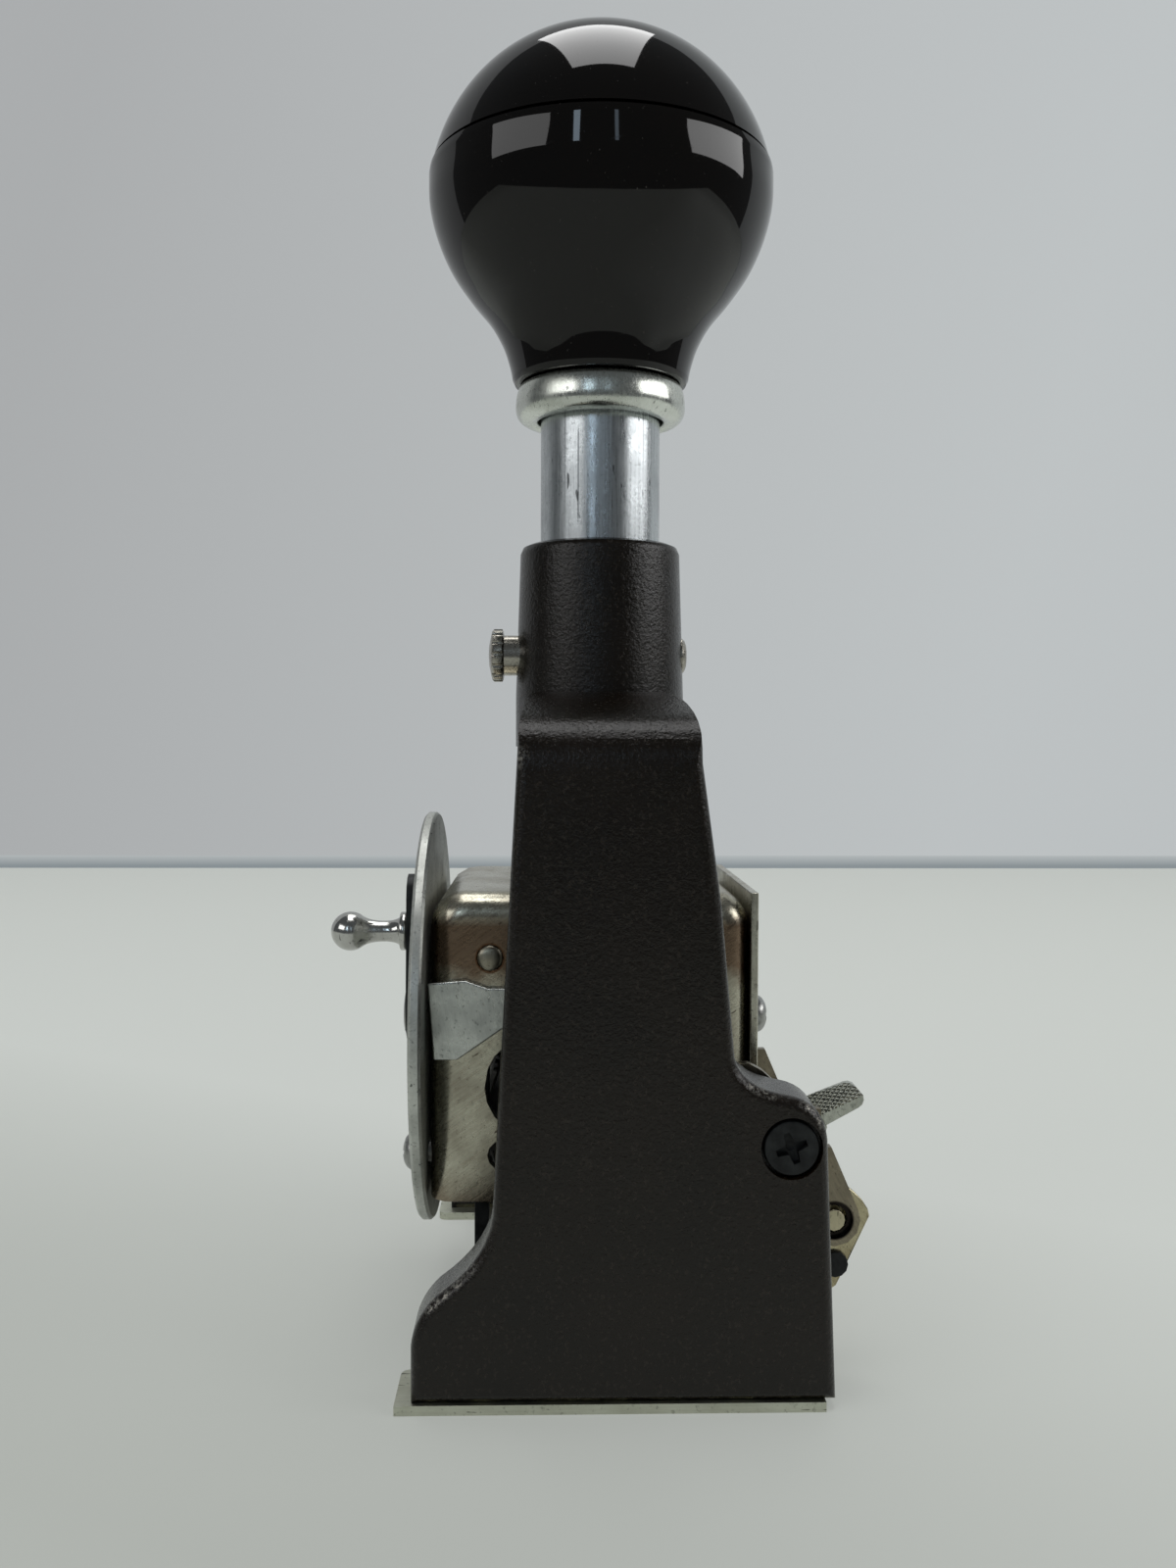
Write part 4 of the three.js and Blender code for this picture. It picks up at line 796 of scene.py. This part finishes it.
brown_plastic = moulded_plastic()
knob_low = 102.0
seam = 125.1
socket_top = 112.7
spigot_radius = 12.3
spigot_low = 121.8
bulb = [(9.1, knob_low), (9.55, knob_low + 0.15), (9.8, knob_low + 0.6)]
bulb_knots = [(9.8, 102.6), (10.15, 104.2), (10.9, 106.4), (12.3, 108.9), (14.5, 111.6), (16.6, 114.6),
              (18.1, 117.9), (18.95, 121.3), (19.05, 124.5)]
knot_steps = 6
for index in range(len(bulb_knots) - 1):
    before = Vector(bulb_knots[max(index - 1, 0)])
    first = Vector(bulb_knots[index])
    second = Vector(bulb_knots[index + 1])
    after = Vector(bulb_knots[min(index + 2, len(bulb_knots) - 1)])
    for step in range(1, knot_steps + 1):
        t = step / knot_steps
        bulb.append(tuple(0.5 * (2 * first + (second - before) * t
                                 + (2 * before - 5 * first + 4 * second - after) * t ** 2
                                 + (3 * first - before - 3 * second + after) * t ** 3)))
bulb_profile = [(0, socket_top), (TUBE_FIT, socket_top), (TUBE_FIT, knob_low), *bulb,
                (18.95, seam - 0.05), (18.7, seam), (spigot_radius, seam), (spigot_radius, spigot_low),
                (0, spigot_low)]
piece("knob_bulb", lathed(bulb_profile, 128), brown_plastic, node="knob_body", crease=40)

cap_radius = 19.2
cap_centre = 121.2
cap_low = seam + 0.3
cap_steps = 32
socket_radius = 12
socket_low = cap_low - 3
cap_profile = [(0, socket_low), (socket_radius, socket_low), (socket_radius, cap_low), (18.5, cap_low),
               (18.72, cap_low + 0.08)]
rim_angle = math.asin((cap_low + 0.3 - cap_centre) / cap_radius)
for step in range(1, cap_steps + 1):
    angle = rim_angle + (math.pi / 2 - rim_angle) * (step - 1) / (cap_steps - 1)
    out = cap_radius * math.cos(angle) if step < cap_steps else 0
    cap_profile.append((out, cap_centre + cap_radius * math.sin(angle)))
piece("knob_dome", lathed(cap_profile, 128), brown_plastic, node="knob_cap", crease=40)

# Head: a drawn case of nickel-plated sheet, stained and scratched by use, that a nut holds to the stud of
# the plunger. Its brown upper band is partly painted reflection, and the ring round the shaft end is
# painted shadow. Steel blocks on its sides run in the channels of the legs.

BUTTON_Y = -11.6
BUTTON_Z = 40.4


def case_stain(start):
    """Brown stain and painted reflection on the upper sides, grime on the lower edge, painted shadow ring
    at the shaft end.
    """
    height = place_on(start, "Z")
    cloud = grain(start, at_object(start), 260.0, 5.0, 0.6)
    # Partly tarnish, partly a painted reflection of the dark room: a brown band high on the sides.
    upper = between(height + cloud * 0.006, 0.0395, 0.0425) * (1 - between(height, 0.0436, 0.0452))
    lower = 1 - between(height + cloud * 0.004, 0.0175, 0.0205)
    # Painted shadow: a dark ring on the case round the end of the detent shaft.
    button = (0, (BUTTON_Y + AXIS_Y) * MM, BUTTON_Z * MM)
    ring = between(distance(start, button, (0, 1, 1)), 0.00185, 0.0015)
    return larger(larger(upper * 0.85, lower * 0.6), ring)


nickel_sheet = metal("nickel_sheet", linear(206, 204, 186), linear(112, 84, 62), 0.18, across=3400.0,
                     along=260.0, axis="Y", turn=35.0, spots=0.3, contrast=0.45, bump_depth=0.00002,
                     stain_and_shade=case_stain, pebble=1800.0)
piece("head_shell", softened(copied("head_case"), 0.15, 2, 50), nickel_sheet, node="head_case", crease=38)
piece("head_hex_nut", softened(copied("head_nut"), 0.25), bright_steel, node="head_nut")
for side in SIGNS:
    piece(f"guide_shoe_{side}", softened(copied(f"guide_block_{side}"), 0.3), bright_steel,
          node=f"guide_block_{side}")

# Side ears: flat pieces cut from sheet steel with a bright zinc skin. One lies on each side of the case,
# behind the dial.

zinc_sheet = metal("zinc_sheet", linear(212, 215, 210), linear(128, 132, 128), 0.22, across=2600.0,
                   along=300.0, turn=10.0, spots=0.4, contrast=0.3, bump_depth=0.000016, pebble=1400.0)
for side in SIGNS:
    piece(f"side_ear_sheet_{side}", softened(copied(f"side_ear_{side}"), 0.18, 3), zinc_sheet,
          node=f"side_ear_{side}")

# Dial: a round satin plate on the front of the head, held by two domed screws and printed with its
# numbers. Its black hand turns on a flat screw and has a bright ball to turn it by.

dial_satin = metal("dial_satin", linear(218, 220, 214), linear(150, 152, 146), 0.4, along=500.0, axis="X",
                   spots=0.45, contrast=0.25, bump_depth=0.00001)
dial_z = 31.8
dial_front = 19.4
dial_back = dial_front - 1.3
dial_radius = 22.56
dial_rim = 0.28
dial_edge = dial_radius - dial_rim
dial_screw_x = 12.6
dial_screw_z = 19.6
pivot_hole = 1.6
screw_hole = 1.4
drill_reach = (-22, -10)
disc = lathed([(0, dial_back), (dial_edge, dial_back), (dial_radius, dial_back + dial_rim),
               (dial_radius, dial_front - dial_rim), (dial_edge, dial_front), (0, dial_front)],
              160, "-Y", dial_z)
drills = [round_bar(pivot_hole, *drill_reach, "Y", (0, dial_z), 32)]
for sign in SIGNS.values():
    drills.append(round_bar(screw_hole, *drill_reach, "Y", (sign * dial_screw_x, dial_screw_z), 32))
piece("dial_disc", softened(cut(disc, *drills), 0.06, 2, 30), dial_satin, node="dial_plate")


def written(label, size, depth):
    """A word in the XY plane about zero, raised as much on both sides."""
    writing = bpy.data.curves.new("writing", "FONT")
    writing.body = label
    writing.size = size
    writing.extrude = depth
    writing.resolution_u = 4
    writing.align_x = "CENTER"
    writing.align_y = "CENTER"
    holder = bpy.data.objects.new("writing", writing)
    bpy.context.scene.collection.objects.link(holder)
    bpy.context.view_layer.update()
    flat = bpy.data.meshes.new_from_object(holder.evaluated_get(bpy.context.evaluated_depsgraph_get()))
    shape = bmesh.new()
    shape.from_mesh(flat)
    bpy.data.meshes.remove(flat)
    bpy.data.objects.remove(holder)
    return shape


def gathered(shapes):
    """All the shapes as one."""
    whole = bmesh.new()
    for shape in shapes:
        part = bpy.data.meshes.new("part")
        shape.to_mesh(part)
        shape.free()
        whole.from_mesh(part)
        bpy.data.meshes.remove(part)
    return whole


def added(name, shape, material, body):
    """A shape that stands for no CAD node, placed on a body."""
    set_down(shape)
    made = new_object(name, shape, material)
    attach(made, body)


dial_ink, ink_start = new_material("dial_ink")
show(dial_ink, surface(ink_start, (*linear(22, 22, 24), 1), 0.5, 0.0))
number_size = 4.2
number_rise = 0.03
number_radius = 17.2
number_step = 20
labels = ("0", "1", "2", "3", "4", "6", "12")
numbers = []
for index, label in enumerate(labels):
    number = written(label, number_size, number_rise)
    shift(number, 0, number_radius, 0)
    rotate(number, number_step * (len(labels) // 2 - index), "Z")
    rotate(number, 90, "X")
    shift(number, 0, -dial_front - 0.02, dial_z)
    numbers.append(number)
added("dial_numbers", gathered(numbers), dial_ink, "head")

dome_radius = 2.0
dome_height = 1.4
dome_shank = 1.1
dome_length = 4.2
cross_half = 0.28
slot_depth = 0.45


def domed_screw(under, degrees, x, z):
    """A domed screw with a cross slot, its head on a plate's face, turned about X and moved to its hole."""
    top = under + dome_height
    profile = [(0, under - dome_length), (dome_shank, under - dome_length), (dome_shank, under),
               (dome_radius - 0.1, under), (dome_radius, under + 0.1),
               *curve((dome_radius, under + 0.1), (dome_radius * 0.95, top), (0, top), 10)]
    slot = rectangle(-cross_half, -dome_radius, cross_half, dome_radius)
    cross = rectangle(-dome_radius * 0.6, -cross_half, dome_radius * 0.6, cross_half)
    slots = [slab(outline, "Z", top - slot_depth, top + 1) for outline in (slot, cross)]
    screw = cut(lathed(profile, 40), *slots)
    rotate(screw, degrees, "X")
    shift(screw, x, 0, z)
    return softened(screw, 0.03, 1, 60)


for side, sign in SIGNS.items():
    piece(f"dial_screw_domed_{side}", domed_screw(dial_front, 90, sign * dial_screw_x, dial_screw_z),
          bright_steel, node=f"dial_screw_{side}", crease=40)

black_hand = oxide_steel("black_hand")
piece("dial_hand_blade", softened(copied("dial_pointer"), 0.08), black_hand, node="dial_pointer")
piece("dial_pivot", softened(copied("dial_pivot_screw"), 0.06), bright_steel, node="dial_pivot_screw")

hand_front = 21.5
ball_z = 40.9
ball_radius = 2.2
ball_centre = hand_front + 6.5
ball_steps = 24
foot_top = 2.08
foot_side = 2.18
neck_radius = 1.18
neck_top = 1.75
neck_angle = -math.acos(neck_top / ball_radius)
neck_end = (neck_top, ball_centre + ball_radius * math.sin(neck_angle))
neck_start = (1.7, hand_front + 0.87)
neck_middle = (neck_radius, hand_front + 2.5)
ball_profile = [(0, hand_front - 0.7), (0.9, hand_front - 0.7), (0.9, hand_front),
                (foot_top, hand_front), (foot_side, hand_front + 0.1), (foot_side, hand_front + 0.75),
                (foot_top, hand_front + 0.86), neck_start,
                *curve(neck_start, (1.2, hand_front + 1.3), neck_middle, 8),
                *curve(neck_middle, (1.15, neck_end[1] - 0.8), neck_end, 8)]
for step in range(1, ball_steps + 1):
    angle = neck_angle + (math.pi / 2 - neck_angle) * step / ball_steps
    out = ball_radius * math.cos(angle) if step < ball_steps else 0
    ball_profile.append((out, ball_centre + ball_radius * math.sin(angle)))
polished_ball = metal("polished_ball", linear(206, 206, 202), linear(120, 114, 104), 0.08, across=3000.0,
                      along=3000.0, spots=0.25, contrast=0.15, bump_depth=0.000003)
piece("dial_ball_handle", lathed(ball_profile, 64, "-Y", ball_z), polished_ball, node="dial_ball",
      crease=45)

# Rear cover: a flat plate of nickel-plated steel over the open back of the case. Two domed screws hold it,
# so that the wheels and combs can be reached.

cover_nickel = metal("cover_nickel", linear(206, 204, 190), linear(132, 118, 96), 0.2, across=3400.0,
                     along=300.0, spots=0.4, contrast=0.35, bump_depth=0.000014, pebble=1800.0)
piece("rear_cover_sheet", softened(copied("rear_cover"), 0.12), cover_nickel, node="rear_cover")
rear_face = 15.85
rear_screw_x = 12.2
rear_screw_z = 33.9
for side, sign in SIGNS.items():
    piece(f"rear_screw_domed_{side}", domed_screw(rear_face, -90, sign * rear_screw_x, rear_screw_z),
          bright_steel, node=f"rear_screw_{side}", crease=40)

# Number wheels: six hardened wheels with ten raised, mirrored digits each, driven by the ratchet on their
# right side. They turn on one axle that clips hold in the case, with a spacer bush at each end.

type_steel = metal("type_steel", linear(150, 150, 148), linear(58, 52, 66), 0.34, axis="X", spots=0.8)
wheel_count = 6
digit_count = 10
axle_z = 21.6
face_radius = 12.5
ratchet_width = 0.9
digit_size = 5.4
digit_share = 0.64
digit_rise = 0.2
for number in range(1, wheel_count + 1):
    piece(f"number_wheel_type_{number}", softened(copied(f"number_wheel_{number}"), 0.08, 1), type_steel,
          node=f"number_wheel_{number}")
    wheel_low, wheel_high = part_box(f"number_wheel_{number}")
    middle = (wheel_low.x + wheel_high.x) / 2 / MM - ratchet_width / 2
    digits = []
    for value in range(digit_count):
        digit = written(str(value), digit_size, digit_rise)
        resize(digit, -digit_share, 1, 1)
        bmesh.ops.reverse_faces(digit, faces=digit.faces)
        shift(digit, 0, 0, face_radius)
        rotate(digit, 180 + 360 * value / digit_count, "X")
        shift(digit, middle, 0, axle_z)
        digits.append(digit)
    added(f"raised_digits_{number}", gathered(digits), type_steel, f"wheel_{number}")
piece("wheel_axle_bar", softened(copied("wheel_axle"), 0.2), bright_steel, node="wheel_axle")
for side in SIGNS:
    piece(f"axle_clip_ring_{side}", softened(copied(f"axle_clip_{side}"), 0.08), black_oxide,
          node=f"axle_clip_{side}")
    carried(f"axle_spacer_{side}", bright_steel)

# Swing frame and combs: two steel cheeks on the axle, joined by a bar, carry the drive comb over the
# ratchets, and the detent comb keeps the wheels in line. Each comb is a tube with thin fingers on a shaft.
# The black trip lever hangs from the detent shaft beside the wheels.

worked_steel = metal("worked_steel", linear(160, 160, 156), linear(92, 84, 72), 0.3, spots=0.6)
for node in ("swing_frame", "drive_comb", "detent_comb"):
    piece(f"{node}_steel", softened(copied(node), 0.08, 1), worked_steel, node=node)
carried("drive_shaft", bright_steel)
dull_nickel = metal("dull_nickel", linear(176, 172, 156), linear(104, 96, 80), 0.26, along=900.0)
case_side = 16.1
button_radius = 1.3
button_rim = (button_radius, case_side + 0.12)
button_profile = [
    (0, case_side - 1), (0.9, case_side - 1), (0.9, case_side + 0.05), (1.26, case_side + 0.05), button_rim,
    *curve(button_rim, (1.2, case_side + 0.5), (0, case_side + 0.55), 8)]
shaft_ends = []
for sign in SIGNS.values():
    button = lathed(button_profile, 48, "X")
    if sign < 0:
        rotate(button, 180, "Z")
    shift(button, 0, BUTTON_Y, BUTTON_Z)
    shaft_ends.append(("UNION", button))
piece("detent_shaft_bar", carved(copied("detent_shaft"), *shaft_ends), dull_nickel, node="detent_shaft")
piece("trip_lever_strip", softened(copied("trip_lever"), 0.1), black_oxide, node="trip_lever")

# Ink arms: nickel-plated levers on the leg screws. A fork on each straddles a pin of the head, so the arms
# swing back as the head comes down. The right one has a knurled tab for the thumb.

RIVET_Y = 22.6
RIVET_Z = 15.3


def rivet_grime(start):
    """Black grime in the round seats of the rivets."""
    seat = (0, (RIVET_Y + AXIS_Y) * MM, RIVET_Z * MM)
    return between(distance(start, seat, (0, 1, 1)), 0.00205, 0.00185)


arm_nickel = metal("arm_nickel", linear(196, 188, 156), linear(120, 98, 60), 0.18, across=3400.0,
                   along=400.0, turn=30.0, contrast=0.3)
rivet_nickel = metal("rivet_nickel", linear(206, 198, 168), linear(150, 140, 112), 0.34, spots=0.4,
                     contrast=0.2)
seat_nickel = metal("seat_nickel", linear(152, 143, 124), linear(40, 36, 34), 0.22, across=3400.0,
                    along=400.0, turn=30.0, spots=0.3, contrast=0.35, stain_and_shade=rivet_grime)
lug_end = 21.2
lug_trim = rectangle(lug_end, 22.6, lug_end + 3, 27.4)
lug_reach = 26
for side in SIGNS:
    lever = cut(copied(f"ink_arm_{side}"), slab(lug_trim, "X", -lug_reach, lug_reach))
    piece(f"ink_arm_lever_{side}", softened(lever, 0.2), seat_nickel, node=f"ink_arm_{side}")
    piece(f"drive_pin_bar_{side}", softened(copied(f"drive_pin_{side}"), 0.12, 2, 40), bright_steel,
          node=f"drive_pin_{side}")
    piece(f"arm_rivet_head_{side}", softened(copied(f"arm_rivet_{side}"), 0.12, 2, 40), rivet_nickel,
          node=f"arm_rivet_{side}")

tab_steel = metal("tab_steel", linear(206, 208, 198), linear(128, 130, 116), 0.18, spots=0.4, contrast=0.3)
tab = softened(copied("thumb_tab"), 0.6, 5, 40)
tab_slope = math.radians(17.5)
tab_tilt = math.radians(25)
tab_turn = Matrix.Rotation(tab_tilt, 3, "X") @ Matrix.Rotation(tab_slope, 3, "Y")
tab_face = (18.8, 22.22, 26.49)
knurl_pitch = 0.52
knurl_reach = 9
knurl_half = 6
knurl_outline = [(-0.26, 0.16), (0, -0.14), (0.26, 0.16)]
for degrees in (45, -45):
    family = []
    for step in range(-knurl_reach, knurl_reach + 1):
        groove = slab(knurl_outline, "Y", -knurl_half, knurl_half)
        shift(groove, step * knurl_pitch, 0, 0)
        rotate(groove, degrees, "Z")
        family.append(groove)
    grooves = gathered(family)
    bmesh.ops.rotate(grooves, matrix=tab_turn, verts=grooves.verts)
    shift(grooves, *tab_face)
    tab = cut(tab, grooves)
piece("thumb_tab_key", tab, tab_steel, node="thumb_tab", crease=30)

# Ink tray: a folded pan of nickel-plated sheet under the wheels, with the felt pad glued in it. Its
# cheeks hang on the arm rivets, and black studs show on them.

piece("ink_tray_pan", softened(copied("ink_tray"), 0.3, 3), arm_nickel, node="ink_tray")


def inked_felt():
    material, start = new_material("inked_felt")
    place = at_object(start)
    fibres = grain(start, streaked(start, 4200.0, 1400.0, "X"), 1.0, 6.0, 0.7, 0.4)
    damp = between(grain(start, place, 140.0, 4.0, 0.5), 0.4, 0.65)
    colour = blended(damp, linear(40, 38, 58), linear(22, 20, 34))
    return show(material, surface(start, colour, 0.95 - damp * 0.25, 0.0, fibres, 0.00025))


felt = piece("ink_pad_felt", softened(copied("ink_pad"), 0.4, 3), inked_felt(), node="ink_pad")
for side in SIGNS:
    piece(f"tray_stud_black_{side}", softened(copied(f"tray_stud_{side}"), 0.1, 2, 40), black_oxide,
          node=f"tray_stud_{side}")
